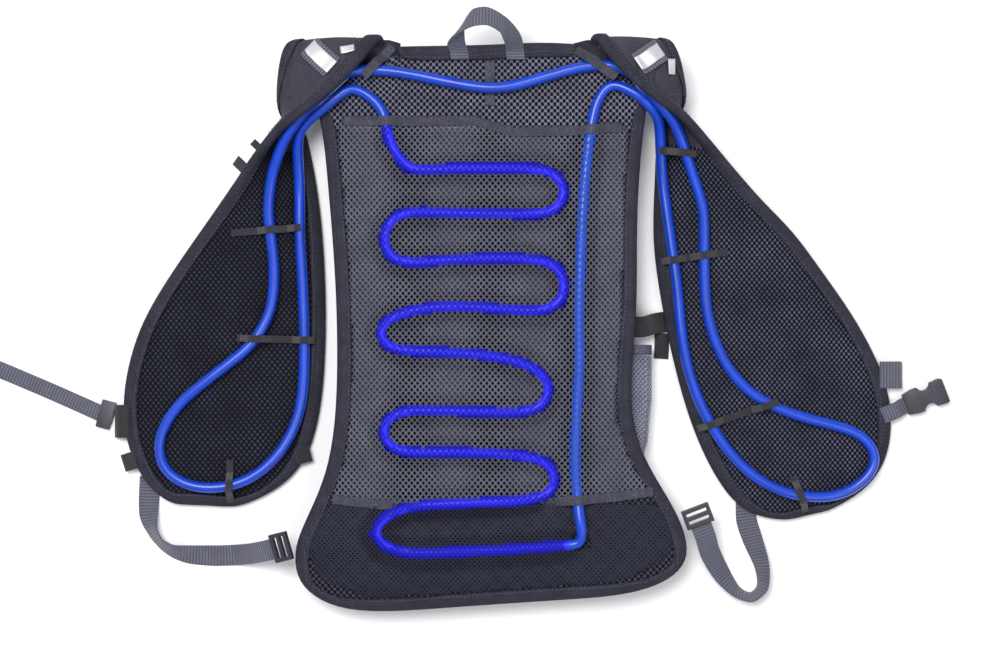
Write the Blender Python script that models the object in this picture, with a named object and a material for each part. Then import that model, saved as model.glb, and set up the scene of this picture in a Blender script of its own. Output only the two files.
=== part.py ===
"""Water-circulating cooling vest of the backpack form, lying open on its pack.

Metres, +Z up, +X to the wearer's left shoulder as seen here. The origin is the centre of the
pack's flat outer face. The inner side faces up and the chest panels lie open at both sides.
"""

import math

import bmesh
import bpy
from mathutils import Vector
from mathutils.bvhtree import BVHTree

# Driving sizes of the back panel and the pack
BACK_HEIGHT = 0.510
BACK_WIDTH = 0.272
PANEL_THICKNESS = 0.005
BAG_DEPTH = 0.042
BAG_WIDTH = 0.234
BAG_TOP = 0.228
BAG_BOTTOM = 0.196
BAG_WALL = 0.002
BAG_CORNER = 0.030
BAG_SOFTNESS = 0.006
BAG_SHOULDER = 0.017
BAG_ROLL = 0.16
MOUTH_WIDTH = 0.170
MOUTH_HEIGHT = 0.016
WING_DROOP = 0.016
WING_REACH = 0.070

# Driving sizes of the chest panels, as they lie
NECK_WIDTH = 0.186
CHEST_REACH = {"left": 0.241, "right": 0.279}
CHEST_DROP = {"left": 0.420, "right": 0.430}
RIDGE_RISE = 0.0325
STRAP_PUFF = 0.032

# Tapes, nets and webbing
BINDING_LEG = 0.012
BINDING_WALL = 0.0012
NET_THICKNESS = 0.001
NET_SLACK = 0.0008
TAPE_THICKNESS = 0.001
TAPE_WIDTH = 0.009
KEEPER_WIDTH = 0.0065
TOP_KEEPER_WIDTH = 0.0085
KEEPER_STEPS = 5
KEEPER_FOOT = 0.0055
KEEPER_TOP = 0.58
WEBBING_WIDTH = 0.019
WEBBING_THICKNESS = 0.0016
STERNUM_WIDTH = 0.015
ANCHOR_WIDTH = 0.0304
WEBBING_LOOP_WIDTH = 0.0247
COMPRESSION_TAIL_WIDTH = 0.0133
BAND_WIDTH = 0.022
BAND_STEPS = 6
REFLECTIVE_WIDTH = 0.0135
REFLECTIVE_END_WIDTH = 0.0068
REFLECTIVE_END_STEPS = 2
REFLECTIVE_THICKNESS = 0.001
LAY_SLACK = 0.0006

# Hose
HOSE_DIAMETER = 0.010
HOSE_STEP = 0.0245
HOSE_SLACK = 0.0007

# Side pocket
POCKET_REACH = 0.0255
POCKET_TOP = -0.023
POCKET_LENGTH = 0.112
POCKET_WALL = 0.0015
POCKET_STEPS = 6
HEM_HEIGHT = 0.009
HEM_WALL = 0.0026

# Hardware
BUCKLE_WIDTH = 0.024
MALE_LENGTH = 0.042
MALE_DEPTH = 0.0046
FEMALE_LENGTH = 0.0336
FEMALE_DEPTH = 0.008
FEMALE_SKIN = 0.0015
FEMALE_SIDE = 0.0026
WINDOW_LENGTH = 0.0100
WINDOW_DEPTH = 0.0042
WINDOW_PLACE = 0.0185
STRAP_IN = 0.009
LOCK_LENGTH = 0.018
LOCK_WIDTH = 0.026
LOCK_DEPTH = 0.005
LOCK_BAR = 0.0034
LOCK_REACH = 0.0095
SLIDER_LENGTH = 0.013
SLIDER_BACK = 0.0072
SLIDER_WALL = 0.0045
SLIDER_SKIN = 0.0011
SLOT_PLAY = 0.0004
HANDLE_WIDTH = 0.0165
HANDLE_RISE = 0.034
TAG_WIDTH = 0.009

# Play between pieces that touch
CLEARANCE = 0.0003

# Values worked out from the driving sizes
HALF_WIDTH = BACK_WIDTH / 2
HALF_HEIGHT = BACK_HEIGHT / 2
HOSE_RADIUS = HOSE_DIAMETER / 2
BACK_MID = BAG_DEPTH + CLEARANCE + PANEL_THICKNESS / 2
REST_HEIGHT = PANEL_THICKNESS / 2 + BINDING_WALL + 2 * CLEARANCE
RIDGE_HEIGHT = BACK_MID + RIDGE_RISE
NET_LOW = CLEARANCE + NET_SLACK + NET_THICKNESS / 2
NET_HIGH = HOSE_DIAMETER + NET_LOW + HOSE_SLACK + NET_THICKNESS + 4 * CLEARANCE
HOSE_LIFT = HOSE_RADIUS + HOSE_SLACK + CLEARANCE
HOSE_OVER_NET = HOSE_LIFT + NET_LOW + NET_THICKNESS / 2 + 2 * NET_SLACK
MOST_OF_CELL = 0.75
END_TRIM = 0.2
MITRE_LIMIT = 0.6
CLEARING_ROUNDS = 12
SMOOTH_ANGLE = 40

# Sections of the shoulder strap and chest panel, from the back panel's corner to the lower end.
# neck and arm edges: across and down as shares of CHEST_REACH and CHEST_DROP, up as a share of
# the ridge's height; puff to the outer side and crease beside the ridge as shares of STRAP_PUFF.
SECTIONS = {
    # neck_across, neck_down, neck_up, arm_across, arm_down, arm_up, puff, crease
    "left": (
        (0.000, 0.001, 0.56, 0.251, 0.120, 0.56, 0.00, 0.00),
        (0.004, -0.010, 0.58, 0.300, 0.055, 0.55, 0.00, 0.00),
        (0.010, -0.020, 0.66, 0.318, 0.010, 0.55, 0.06, 0.00),
        (0.024, -0.014, 0.75, 0.336, -0.008, 0.62, 0.12, 0.00),
        (0.060, 0.017, 0.85, 0.358, -0.004, 0.72, 0.16, 0.00),
        (0.125, 0.064, 0.95, 0.377, 0.028, 0.76, 0.19, 0.12),
        (0.205, 0.107, 1.00, 0.388, 0.076, 0.64, 0.19, 0.20),
        (0.275, 0.138, 1.00, 0.392, 0.112, 0.49, 0.16, 0.12),
        (0.341, 0.162, 0.95, 0.383, 0.138, 0.24, 0.12, 0.00),
        (0.387, 0.182, 0.89, 0.352, 0.147, 0.11, 0.12, 0.00),
        (0.434, 0.209, 0.81, 0.319, 0.166, 0.05, 0.12, 0.00),
        (0.490, 0.244, 0.70, 0.301, 0.205, 0.02, 0.06, 0.00),
        (0.554, 0.294, 0.56, 0.279, 0.268, 0.01, -0.06, 0.00),
        (0.645, 0.363, 0.42, 0.256, 0.356, 0.01, -0.16, 0.00),
        (0.751, 0.445, 0.30, 0.244, 0.443, 0.01, -0.22, 0.00),
        (0.854, 0.529, 0.19, 0.237, 0.535, 0.01, -0.25, 0.00),
        (0.930, 0.605, 0.11, 0.237, 0.623, 0.01, -0.28, 0.00),
        (0.978, 0.690, 0.05, 0.244, 0.712, 0.01, -0.31, 0.00),
        (0.999, 0.772, 0.01, 0.259, 0.787, 0.01, -0.31, 0.00),
        (0.984, 0.852, 0.02, 0.290, 0.861, 0.01, -0.28, 0.00),
        (0.938, 0.914, 0.035, 0.343, 0.914, 0.01, -0.22, 0.00),
        (0.889, 0.953, 0.035, 0.423, 0.955, 0.01, -0.12, 0.00),
        (0.816, 0.984, 0.03, 0.557, 0.990, 0.01, 0.00, 0.00),
    ),
    "right": (
        (0.000, -0.003, 0.56, 0.187, 0.090, 0.56, 0.00, 0.00),
        (0.005, -0.013, 0.58, 0.221, 0.040, 0.55, 0.00, 0.00),
        (0.011, -0.021, 0.66, 0.236, 0.000, 0.56, 0.06, 0.00),
        (0.022, -0.015, 0.75, 0.247, -0.010, 0.63, 0.12, 0.00),
        (0.048, 0.012, 0.85, 0.263, -0.004, 0.73, 0.16, 0.00),
        (0.094, 0.052, 0.95, 0.283, 0.030, 0.74, 0.19, 0.14),
        (0.150, 0.085, 1.00, 0.294, 0.065, 0.64, 0.19, 0.20),
        (0.199, 0.110, 1.00, 0.304, 0.096, 0.49, 0.16, 0.12),
        (0.245, 0.129, 0.95, 0.297, 0.123, 0.24, 0.12, 0.00),
        (0.284, 0.143, 0.89, 0.263, 0.131, 0.11, 0.12, 0.00),
        (0.331, 0.169, 0.81, 0.238, 0.145, 0.05, 0.12, 0.00),
        (0.391, 0.209, 0.70, 0.229, 0.192, 0.02, 0.06, 0.00),
        (0.471, 0.266, 0.59, 0.226, 0.262, 0.01, -0.06, 0.00),
        (0.558, 0.328, 0.48, 0.219, 0.341, 0.01, -0.16, 0.00),
        (0.656, 0.384, 0.35, 0.219, 0.422, 0.01, -0.22, 0.00),
        (0.755, 0.470, 0.22, 0.239, 0.512, 0.05, -0.25, 0.00),
        (0.858, 0.559, 0.11, 0.265, 0.604, 0.06, -0.28, 0.00),
        (0.935, 0.645, 0.05, 0.301, 0.704, 0.03, -0.31, 0.00),
        (0.990, 0.734, 0.01, 0.348, 0.803, 0.01, -0.31, 0.00),
        (0.993, 0.828, 0.01, 0.407, 0.888, 0.01, -0.28, 0.00),
        (0.960, 0.890, 0.01, 0.476, 0.957, 0.035, -0.22, 0.00),
        (0.901, 0.935, 0.01, 0.552, 0.987, 0.035, -0.12, 0.00),
        (0.789, 0.974, 0.01, 0.647, 0.995, 0.03, 0.00, 0.00),
    ),
}
SECTION_STEPS = 5
CORNER_STEPS = 4
CREASE_PLACE = 0.4
CREASE_SPREAD = 0.25

# Border of the back panel: across and up as shares of its half width and half height.
# The first point of each edge is the corner where the shoulder strap joins.
LEFT_EDGE = (
    (-1.072, 0.688), (-1.046, 0.529), (-1.013, 0.335), (-0.986, 0.106), (-0.979, -0.124),
    (-0.993, -0.335), (-1.052, -0.512), (-1.171, -0.653), (-1.277, -0.769), (-1.264, -0.875),
    (-1.158, -0.942),
)
RIGHT_EDGE = (
    (1.019, 0.688), (0.993, 0.529), (0.979, 0.335), (0.986, 0.106), (0.953, -0.106),
    (0.933, -0.300), (1.032, -0.466), (1.198, -0.600), (1.317, -0.724), (1.330, -0.819),
    (1.211, -0.882),
)
BOTTOM_EDGE = (
    (-0.940, -0.992), (-0.609, -0.995), (-0.278, -0.981), (0.086, -0.967), (0.450, -0.953),
    (0.781, -0.942), (1.012, -0.921),
)
TOP_EDGE = ((-0.311, 0.999), (0.020, 1.002), (0.351, 1.013))

# Nets over the hose: columns as shares of the width between the bindings
NET_COLUMNS = (0.0, 0.084, 0.25, 0.35, 0.52, 0.70, 0.80, 0.90, 0.95, 1.0)
NET_ROWS = (0.790, 0.730, 0.620, 0.420, 0.220, 0.0, -0.150, -0.300, -0.466, -0.570, -0.625)
ENTRY_COLUMNS = (1, 2)
RISER_COLUMNS = (6, 7, 8)
LOWER_COLUMNS = (1, 2, 3, 4, 5, 6, 7)
LUMBAR_TOP = -0.634
LUMBAR_COLUMNS = (-0.800, -0.390, 0.0, 0.300, 0.480, 0.540, 0.715, 0.920)
LUMBAR_SHARES = (0.0, 0.17, 0.375, 0.625, 0.84, 1.0)
LUMBAR_RAISED_COLUMNS = (1, 2, 3, 4, 5)
LUMBAR_RAISED_ROWS = (0, 1, 2, 3, 4)
HOLE_ROW = 2
HOLE_COLUMNS = (5, 6)
NET_INSET = 0.0165

# Hose route on the back, as shares of its half width and half height
NECK_RUN = (
    (-0.878, 0.916), (-0.640, 0.916), (-0.403, 0.891), (0.020, 0.849), (0.304, 0.880),
    (0.634, 0.930), (0.819, 0.937),
)
RISER = (
    (0.812, 0.877), (0.726, 0.810), (0.693, 0.736), (0.647, 0.532), (0.621, 0.282),
    (0.608, 0.032), (0.614, -0.106), (0.594, -0.282), (0.581, -0.493), (0.600, -0.600),
)
RISER_OVER_NET = ((0.612, -0.664), (0.627, -0.704))
SERPENTINE = (
    (0.624, -0.752), (0.548, -0.757), (0.383, -0.764), (0.086, -0.775), (-0.244, -0.782), (-0.535, -0.785),
    (-0.680, -0.764), (-0.746, -0.715), (-0.686, -0.662), (-0.554, -0.627), (-0.277, -0.613),
    (0.020, -0.606), (0.317, -0.595), (0.423, -0.574), (0.456, -0.521), (0.410, -0.468),
    (0.284, -0.444), (0.020, -0.433), (-0.277, -0.430), (-0.548, -0.430), (-0.653, -0.408),
    (-0.693, -0.356), (-0.653, -0.310), (-0.554, -0.285), (-0.277, -0.285), (-0.013, -0.289),
    (0.258, -0.289), (0.370, -0.268), (0.416, -0.211), (0.383, -0.162), (0.264, -0.120),
    (-0.013, -0.088), (-0.277, -0.077), (-0.548, -0.074), (-0.667, -0.056), (-0.713, -0.011),
    (-0.667, 0.035), (-0.541, 0.063), (-0.244, 0.085), (0.086, 0.074), (0.370, 0.067),
    (0.489, 0.095), (0.522, 0.162), (0.469, 0.225), (0.350, 0.250), (0.086, 0.254),
    (-0.244, 0.247), (-0.535, 0.236), (-0.647, 0.257), (-0.686, 0.317), (-0.653, 0.380),
    (-0.554, 0.416), (-0.244, 0.412), (0.086, 0.409), (0.350, 0.405), (0.469, 0.426),
    (0.522, 0.486), (0.469, 0.546), (0.350, 0.570), (0.086, 0.570), (-0.244, 0.570),
    (-0.535, 0.567), (-0.653, 0.662), (-0.667, 0.754), (-0.733, 0.810), (-0.878, 0.859),
)

# Hose route under each shoulder: across and down as in SECTIONS, up as a share of the ridge
LEFT_RETURN = ((0.385, 0.190, 0.70), (0.332, 0.158, 0.79), (0.268, 0.126, 0.83), (0.200, 0.092, 0.83),
               (0.150, 0.062, 0.79))
LEFT_DEPARTURE = ((0.155, 0.099, 0.70), (0.215, 0.128, 0.68), (0.275, 0.154, 0.63), (0.325, 0.182, 0.53))
RIGHT_DEPARTURE = ((0.120, 0.054, 0.80), (0.160, 0.069, 0.86), (0.200, 0.094, 0.86), (0.236, 0.118, 0.80))
RIGHT_RETURN = ((0.226, 0.150, 0.50), (0.202, 0.127, 0.70), (0.166, 0.106, 0.73), (0.125, 0.092, 0.71))

# Hose loops on the chest panels, across and down as in SECTIONS
CHEST_LOOPS = {
    "left": (
        (0.338, 0.282), (0.334, 0.388), (0.319, 0.512), (0.312, 0.625), (0.312, 0.703),
        (0.322, 0.772), (0.361, 0.838), (0.429, 0.892), (0.508, 0.927), (0.592, 0.945),
        (0.686, 0.950), (0.766, 0.940), (0.826, 0.915), (0.857, 0.877), (0.849, 0.827),
        (0.781, 0.768), (0.645, 0.703), (0.508, 0.640), (0.459, 0.596), (0.429, 0.551),
        (0.421, 0.488), (0.429, 0.434), (0.448, 0.355), (0.440, 0.265),
    ),
    "right": (
        (0.312, 0.186), (0.345, 0.261), (0.376, 0.326), (0.379, 0.419), (0.379, 0.498),
        (0.386, 0.555), (0.415, 0.625), (0.464, 0.684), (0.536, 0.731), (0.621, 0.761),
        (0.719, 0.782), (0.804, 0.795), (0.889, 0.814), (0.935, 0.850), (0.932, 0.888),
        (0.876, 0.924), (0.804, 0.945), (0.719, 0.947), (0.628, 0.936), (0.536, 0.903),
        (0.451, 0.846), (0.389, 0.778), (0.337, 0.695), (0.307, 0.602), (0.294, 0.498),
        (0.274, 0.396), (0.252, 0.261),
    ),
}

# Keepers on the chest panels: from and to, across and down as in SECTIONS
CHEST_KEEPERS = {
    "left": {
        "keeper_upper_left": ((0.575, 0.398), (0.318, 0.385)),
        "keeper_middle_left": ((0.560, 0.625), (0.268, 0.630)),
        "keeper_lower_left": ((0.590, 0.890), (0.590, 0.985)),
    },
    "right": {
        "keeper_loop_right": ((0.224, 0.214), (0.345, 0.224)),
        "keeper_upper_right": ((0.238, 0.448), (0.452, 0.428)),
        "keeper_middle_right": ((0.356, 0.804), (0.615, 0.745)),
        "keeper_lower_right": ((0.668, 0.905), (0.712, 0.981)),
    },
}

# Keepers over the neck run, as shares of the back's half width and half height
TOP_KEEPERS = {
    "keeper_top_left": ((-0.812, 0.892), (-0.625, 1.000)),
    "keeper_top_right": ((0.590, 0.990), (0.852, 0.888)),
}

# Handle: middle across and up as shares of the back's half sizes, height as a share of
# HANDLE_RISE, and how far the width has turned from across to up
HANDLE = (
    (-0.179, 0.955, 0.00, 0.00), (-0.186, 0.984, 0.01, 0.03), (-0.204, 1.012, 0.24, 0.20),
    (-0.183, 1.050, 0.62, 0.55), (-0.097, 1.086, 0.88, 0.90), (0.001, 1.092, 0.94, 1.00),
    (0.099, 1.067, 0.76, 0.90), (0.170, 1.020, 0.34, 0.40), (0.184, 0.986, 0.01, 0.03),
    (0.192, 0.955, 0.00, 0.00),
)

# Tapes laid on the shoulders: from and to, across and down as in SECTIONS
SHOULDER_BANDS = {
    "left": ((0.276, 0.006), (0.186, 0.052)),
    "right": ((0.150, 0.044), (0.224, 0.012)),
}
REFLECTIVE_ENDS = {
    "left": ((0.156, 0.014), (0.104, 0.010)),
    "right": ((0.256, 0.030), (0.256, 0.062)),
}

# Straps beyond the chest panels: across and down as in SECTIONS, height of the lower edge as a
# share of BAG_DEPTH, and degrees by which the strap stands on edge
STERNUM_STRAP = ((1.040, 0.797, 0.050, 0), (1.092, 0.789, 0.050, 0), (1.154, 0.774, 0.012, 0),
                 (1.284, 0.741, 0.007, 0), (1.440, 0.703, 0.007, 0), (1.500, 0.688, 0.062, 0),
                 (1.550, 0.676, 0.064, 0))
STERNUM_ANCHOR = ((1.031, 0.807, 0.120, 0), (1.016, 0.807, 0.225, 0), (0.974, 0.806, 0.265, 0))
STERNUM_STUB = ((0.965, 0.776, 0.265, 0), (1.012, 0.764, 0.240, 0), (1.030, 0.758, 0.130, 0),
                (1.046, 0.753, 0.100, 0), (1.062, 0.749, 0.100, 0))
WEBBING_LOOP = ((0.955, 0.689, 0.270, 0), (1.006, 0.689, 0.235, 0), (1.024, 0.689, 0.175, 0),
                (1.030, 0.689, 0.105, 0), (1.024, 0.689, 0.035, 0), (1.010, 0.689, 0.007, 0))
SIDE_STRAPS = {
    "left": ((0.902, 0.928, 0.007, 0), (0.906, 0.980, 0.007, 0), (0.905, 1.014, 0.010, 20),
             (0.892, 1.042, 0.010, 50), (0.862, 1.070, 0.007, 60), (0.816, 1.089, 0.007, 50),
             (0.756, 1.098, 0.007, 25), (0.654, 1.102, 0.007, 0), (0.575, 1.100, 0.050, 0),
             (0.510, 1.094, 0.360, 0)),
    "right": ((0.520, 0.955, 0.007, 0), (0.522, 1.000, 0.007, 0), (0.540, 1.040, 0.012, 20),
              (0.570, 1.098, 0.010, 50), (0.571, 1.142, 0.007, 65), (0.536, 1.163, 0.007, 70),
              (0.488, 1.152, 0.007, 60), (0.440, 1.116, 0.060, 30), (0.396, 1.066, 0.450, 5)),
}
# The side straps' upper ends, at the back's wings: across and up as shares of the back's half sizes
SIDE_STRAP_ENDS = {
    "left": ((-1.483, -0.787, 0.720, 0), (-1.430, -0.779, 0.810, 0)),
    "right": ((1.459, -0.739, 0.750, 0), (1.427, -0.695, 0.810, 0)),
}
COMPRESSION_STRAP = ((0.111, 0.588, 0.700, 0), (0.178, 0.586, 0.540, 0), (0.214, 0.580, 0.220, 0),
                     (0.240, 0.577, 0.030, 0), (0.260, 0.576, 0.007, 0))
COMPRESSION_TAIL = ((0.243, 0.600, 0.007, 0), (0.242, 0.630, 0.007, 0), (0.240, 0.655, 0.007, 0))

# Small tabs: from and to in plan, across and down as in SECTIONS, and the share of TAG_WIDTH
TABS = {
    "edge_tag_left": ("left", (0.516, 0.262), (0.556, 0.244), 1.2),
    "edge_tab_left": ("left", (0.452, 0.222), (0.482, 0.204), 0.8),
    "lower_tab_left": ("left", (0.950, 0.890), (1.000, 0.899), 1.8),
    "panel_tab_left": ("left", (0.340, 0.884), (0.285, 0.876), 1.7),
}

# Side pocket: along as a share of POCKET_LENGTH, outward as a share of POCKET_REACH
POCKET_SHARES = ((0.0, 1.0), (0.35, 1.0), (0.7, 0.85), (0.92, 0.6), (1.0, 0.25))

# Pack: height as a share of BAG_DEPTH, and how far its outline is drawn in there
BAG_RINGS = ((0.0, BAG_SOFTNESS), (BAG_ROLL, 0.0), (1 - BAG_ROLL, 0.0), (1.0, BAG_SHOULDER))

# Colours in linear light
MESH_GREY = (0.030, 0.030, 0.034)
BINDING_GREY = (0.036, 0.035, 0.038)
NET_GREY = (0.060, 0.060, 0.066)
WEBBING_GREY = (0.060, 0.058, 0.062)
BLACK = (0.012, 0.012, 0.013)
HOSE_BLUE = (0.010, 0.060, 0.620)
SILVER = (0.620, 0.620, 0.640)
PLASTIC_GREY = (0.050, 0.050, 0.056)

ACROSS_SIGN = {"left": -1, "right": 1}

# Buckle outlines: along and across as shares of their length and half width
MALE_OUTLINE = (
    (-0.15, -0.90), (0.30, -0.90), (0.40, -1.00), (0.75, -0.95), (0.85, -0.70), (0.78, -0.55),
    (0.42, -0.55), (0.42, -0.15), (0.72, -0.12), (0.72, 0.12), (0.42, 0.15), (0.42, 0.55),
    (0.78, 0.55), (0.85, 0.70), (0.75, 0.95), (0.40, 1.00), (0.30, 0.90), (-0.15, 0.90),
)
FEMALE_OUTLINE = (
    (-0.16, -0.80), (0.10, -0.95), (0.70, -0.95), (0.92, -1.00), (1.00, -0.90), (1.00, 0.90),
    (0.92, 1.00), (0.70, 0.95), (0.10, 0.95), (-0.16, 0.80),
)


def material(name, colour, roughness, metallic=0.0):
    found = bpy.data.materials.get(name)
    if found:
        return found
    made = bpy.data.materials.new(name)
    made.use_nodes = True
    shader = made.node_tree.nodes["Principled BSDF"]
    shader.inputs["Base Color"].default_value = (*colour, 1.0)
    shader.inputs["Roughness"].default_value = roughness
    shader.inputs["Metallic"].default_value = metallic
    return made


def add_object(name, bm, finish, smooth_angle=None):
    """Turns a bmesh into a named object with its faces pointing out."""
    bm.normal_update()
    bmesh.ops.recalc_face_normals(bm, faces=bm.faces[:])
    mesh = bpy.data.meshes.new(name)
    bm.to_mesh(mesh)
    bm.free()
    if smooth_angle is not None:
        mesh.shade_smooth()
        mesh.set_sharp_from_angle(angle=math.radians(smooth_angle))
    mesh.materials.append(finish)
    made = bpy.data.objects.new(name, mesh)
    bpy.context.scene.collection.objects.link(made)
    return made


# Places

def back_height(x, y):
    """Mid-height of the back panel, which is flat on the pack and droops beyond it."""
    beside = max(0.0, abs(x) - BAG_WIDTH / 2 - BAG_SOFTNESS)
    below = max(0.0, -BAG_BOTTOM - y)
    share = min(1.0, math.hypot(beside, below) / WING_REACH)
    return BACK_MID - WING_DROOP * share * share


def back_point(across, up, lift=0.0):
    """A point on the back panel's middle layer, or above it by lift."""
    x = across * HALF_WIDTH
    y = up * HALF_HEIGHT
    return Vector((x, y, back_height(x, y) + lift))


def chest_place(side, across, down, up=0.0):
    """A point by a chest panel's shares; up runs from its lying height to the ridge."""
    x = ACROSS_SIGN[side] * (NECK_WIDTH / 2 + across * CHEST_REACH[side])
    y = HALF_HEIGHT - down * CHEST_DROP[side]
    return Vector((x, y, REST_HEIGHT + up * (RIDGE_HEIGHT - REST_HEIGHT)))


def smooth_path(points, step, closed=False):
    """Points along a Catmull-Rom curve through the given ones, about one step apart."""
    count = len(points)
    made = []
    for i in range(count if closed else count - 1):
        a = points[i - 1] if closed or i else points[0] * 2 - points[1]
        b = points[i]
        c = points[(i + 1) % count]
        if closed or i + 2 < count:
            d = points[(i + 2) % count]
        else:
            d = c * 2 - b
        pieces = max(1, round((c - b).length / step))
        for k in range(pieces):
            t = k / pieces
            made.append(0.5 * (2 * b + (c - a) * t + (2 * a - 5 * b + 4 * c - d) * t * t
                               + (3 * b - a - 3 * c + d) * t * t * t))
    if not closed:
        made.append(points[-1].copy())
    return made


# Sheets with a folded tape round their border

def ring_sheet(grid):
    """Triangles over a grid of points, with a ring of faces where the border tape lies."""
    last_row = len(grid) - 1
    last_col = len(grid[0]) - 1
    points = [point for row in grid for point in row]

    def at(row, col):
        return row * (last_col + 1) + col

    border = [(0, c) for c in range(last_col)]
    border += [(r, last_col) for r in range(last_row)]
    border += [(last_row, c) for c in range(last_col, 0, -1)]
    border += [(r, 0) for r in range(last_row, 0, -1)]
    ring = []
    for r, c in border:
        inner = at(min(max(r, 1), last_row - 1), min(max(c, 1), last_col - 1))
        outer = at(r, c)
        inward = points[inner] - points[outer]
        share = min(BINDING_LEG / inward.length, MOST_OF_CELL)
        ring.append((outer, len(points), inner))
        points.append(points[outer] + inward * share)
    quads = []
    for r in range(1, last_row - 1):
        for c in range(1, last_col - 1):
            quads.append((at(r, c), at(r + 1, c), at(r + 1, c + 1), at(r, c + 1)))
    for i, (outer, leg, inner) in enumerate(ring):
        next_outer, next_leg, next_inner = ring[(i + 1) % len(ring)]
        quads.append((outer, leg, next_leg, next_outer))
        quads.append((leg, inner, next_inner, next_leg))
    return {"points": points, "faces": split_quads(quads), "ring": ring, "rows": last_row, "cols": last_col}


def split_quads(quads):
    """Two triangles for each quad, and one where two of its corners are the same."""
    faces = []
    for a, b, c, d in quads:
        for face in ((a, b, c), (a, c, d)):
            if len(set(face)) == 3:
                faces.append(face)
    return faces


def point_normals(points, faces):
    normals = [Vector((0, 0, 0)) for _ in points]
    for face in faces:
        a, b, c = (points[i] for i in face)
        turn = (b - a).cross(c - a)
        for i in face:
            normals[i] += turn
    return [normal.normalized() for normal in normals]


def thicken(points, faces, normals, thickness):
    """A closed body from a sheet of triangles, with half the thickness on each side."""
    bm = bmesh.new()
    upper = [bm.verts.new(p + n * thickness / 2) for p, n in zip(points, normals)]
    lower = [bm.verts.new(p - n * thickness / 2) for p, n in zip(points, normals)]
    directed = set()
    for a, b, c in faces:
        bm.faces.new((upper[a], upper[b], upper[c]))
        bm.faces.new((lower[c], lower[b], lower[a]))
        directed.update(((a, b), (b, c), (c, a)))
    for a, b in directed:
        if (b, a) not in directed:
            bm.faces.new((upper[b], upper[a], lower[b]))
            bm.faces.new((upper[a], lower[a], lower[b]))
    unused = [v for v in bm.verts if not v.link_faces]
    bmesh.ops.delete(bm, geom=unused, context="VERTS")
    return bm


def loft_loops(bm, loops, closed=False):
    """Faces between rings of as many points each, with a lid on both ends unless closed."""
    rings = [[bm.verts.new(point) for point in loop] for loop in loops]
    pairs = list(zip(rings, rings[1:]))
    if closed:
        pairs.append((rings[-1], rings[0]))
    for first, second in pairs:
        for i in range(len(first)):
            j = (i + 1) % len(first)
            bm.faces.new((first[i], first[j], second[j], second[i]))
    return rings


def outward(sheet, i, first, last):
    """The direction square to the border at a station, longer at a corner so that it stays clear."""
    points, ring = sheet["points"], sheet["ring"]
    edge, leg = points[ring[i % len(ring)][0]], points[ring[i % len(ring)][1]]
    normal = sheet["normals"][ring[i % len(ring)][0]]
    found = []
    for a, b in ((i - 1, i), (i, i + 1)):
        if first <= a and b <= last:
            along = points[ring[b % len(ring)][0]] - points[ring[a % len(ring)][0]]
            square = along.cross(normal).normalized()
            found.append(square if square.dot(edge - leg) > 0 else -square)
    total = sum(found, Vector()).normalized()
    return total / max(MITRE_LIMIT, total.dot(found[0]))


def make_binding(name, sheet, first, last, trim=0.0):
    """Folded tape over a sheet's border, between two stations of its ring."""
    points, normals, ring = sheet["points"], sheet["normals"], sheet["ring"]
    inner = PANEL_THICKNESS / 2 + CLEARANCE
    outer = inner + BINDING_WALL
    loops = []
    for i in range(first, last + 1):
        edge, leg, _ = ring[i % len(ring)]
        out = outward(sheet, i, first, last)
        near = points[edge] + out * 2 * CLEARANCE
        far = points[edge] + out * (2 * CLEARANCE + BINDING_WALL)
        up_edge, up_leg = normals[edge], normals[leg]
        loops.append([
            points[leg] + up_leg * outer, far + up_edge * outer,
            far - up_edge * outer, points[leg] - up_leg * outer,
            points[leg] - up_leg * inner, near - up_edge * inner,
            near + up_edge * inner, points[leg] + up_leg * inner,
        ])
    if trim:
        loops[0] = [a.lerp(b, trim) for a, b in zip(loops[0], loops[1])]
        loops[-1] = [a.lerp(b, trim) for a, b in zip(loops[-1], loops[-2])]
    bm = bmesh.new()
    rings = [[bm.verts.new(point) for point in loop] for loop in loops]
    for low, high in zip(rings, rings[1:]):
        for i in range(8):
            j = (i + 1) % 8
            if i in (0, 1, 4):
                halves = ((low[i], low[j], high[i]), (low[j], high[j], high[i]))
            else:
                halves = ((low[i], low[j], high[j]), (low[i], high[j], high[i]))
            for corners in halves:
                bm.faces.new(corners)
    for end in (rings[0], rings[-1]):
        for corners in ((0, 1, 6, 7), (1, 2, 5, 6), (2, 3, 4, 5)):
            bm.faces.new([end[i] for i in corners])
    return add_object(name, bm, material("binding_tape", BINDING_GREY, 0.85), SMOOTH_ANGLE)


def finish_sheet(name, sheet, finish, seam_points=0):
    """Thickens a sheet; its first seam_points points are a seam, whose edge stands upright."""
    sheet["normals"] = point_normals(sheet["points"], sheet["faces"])
    for i in range(seam_points):
        sheet["normals"][i] = Vector((0, 0, math.copysign(1, sheet["normals"][i].z)))
    bm = thicken(sheet["points"], sheet["faces"], sheet["normals"], PANEL_THICKNESS)
    return add_object(name, bm, finish, SMOOTH_ANGLE)


# Back panel

def corner_seam(side):
    """The two ends of the seam between the back panel and a shoulder strap."""
    neck_across, neck_down, _, arm_across, arm_down = SECTIONS[side][0][:5]
    ends = (chest_place(side, neck_across, neck_down), chest_place(side, arm_across, arm_down))
    for end in ends:
        end.z = back_height(end.x, end.y)
    return ends


def seam_gap(side, point):
    """Moves a seam point into the back panel, so that the strap starts clear of it."""
    neck, arm = corner_seam(side)
    along = (arm - neck).normalized()
    inward = Vector((-along.y, along.x, 0.0)) * ACROSS_SIGN[side] * -1
    if inward.y > 0:
        inward.negate()
    return point + inward * 2 * CLEARANCE


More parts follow.
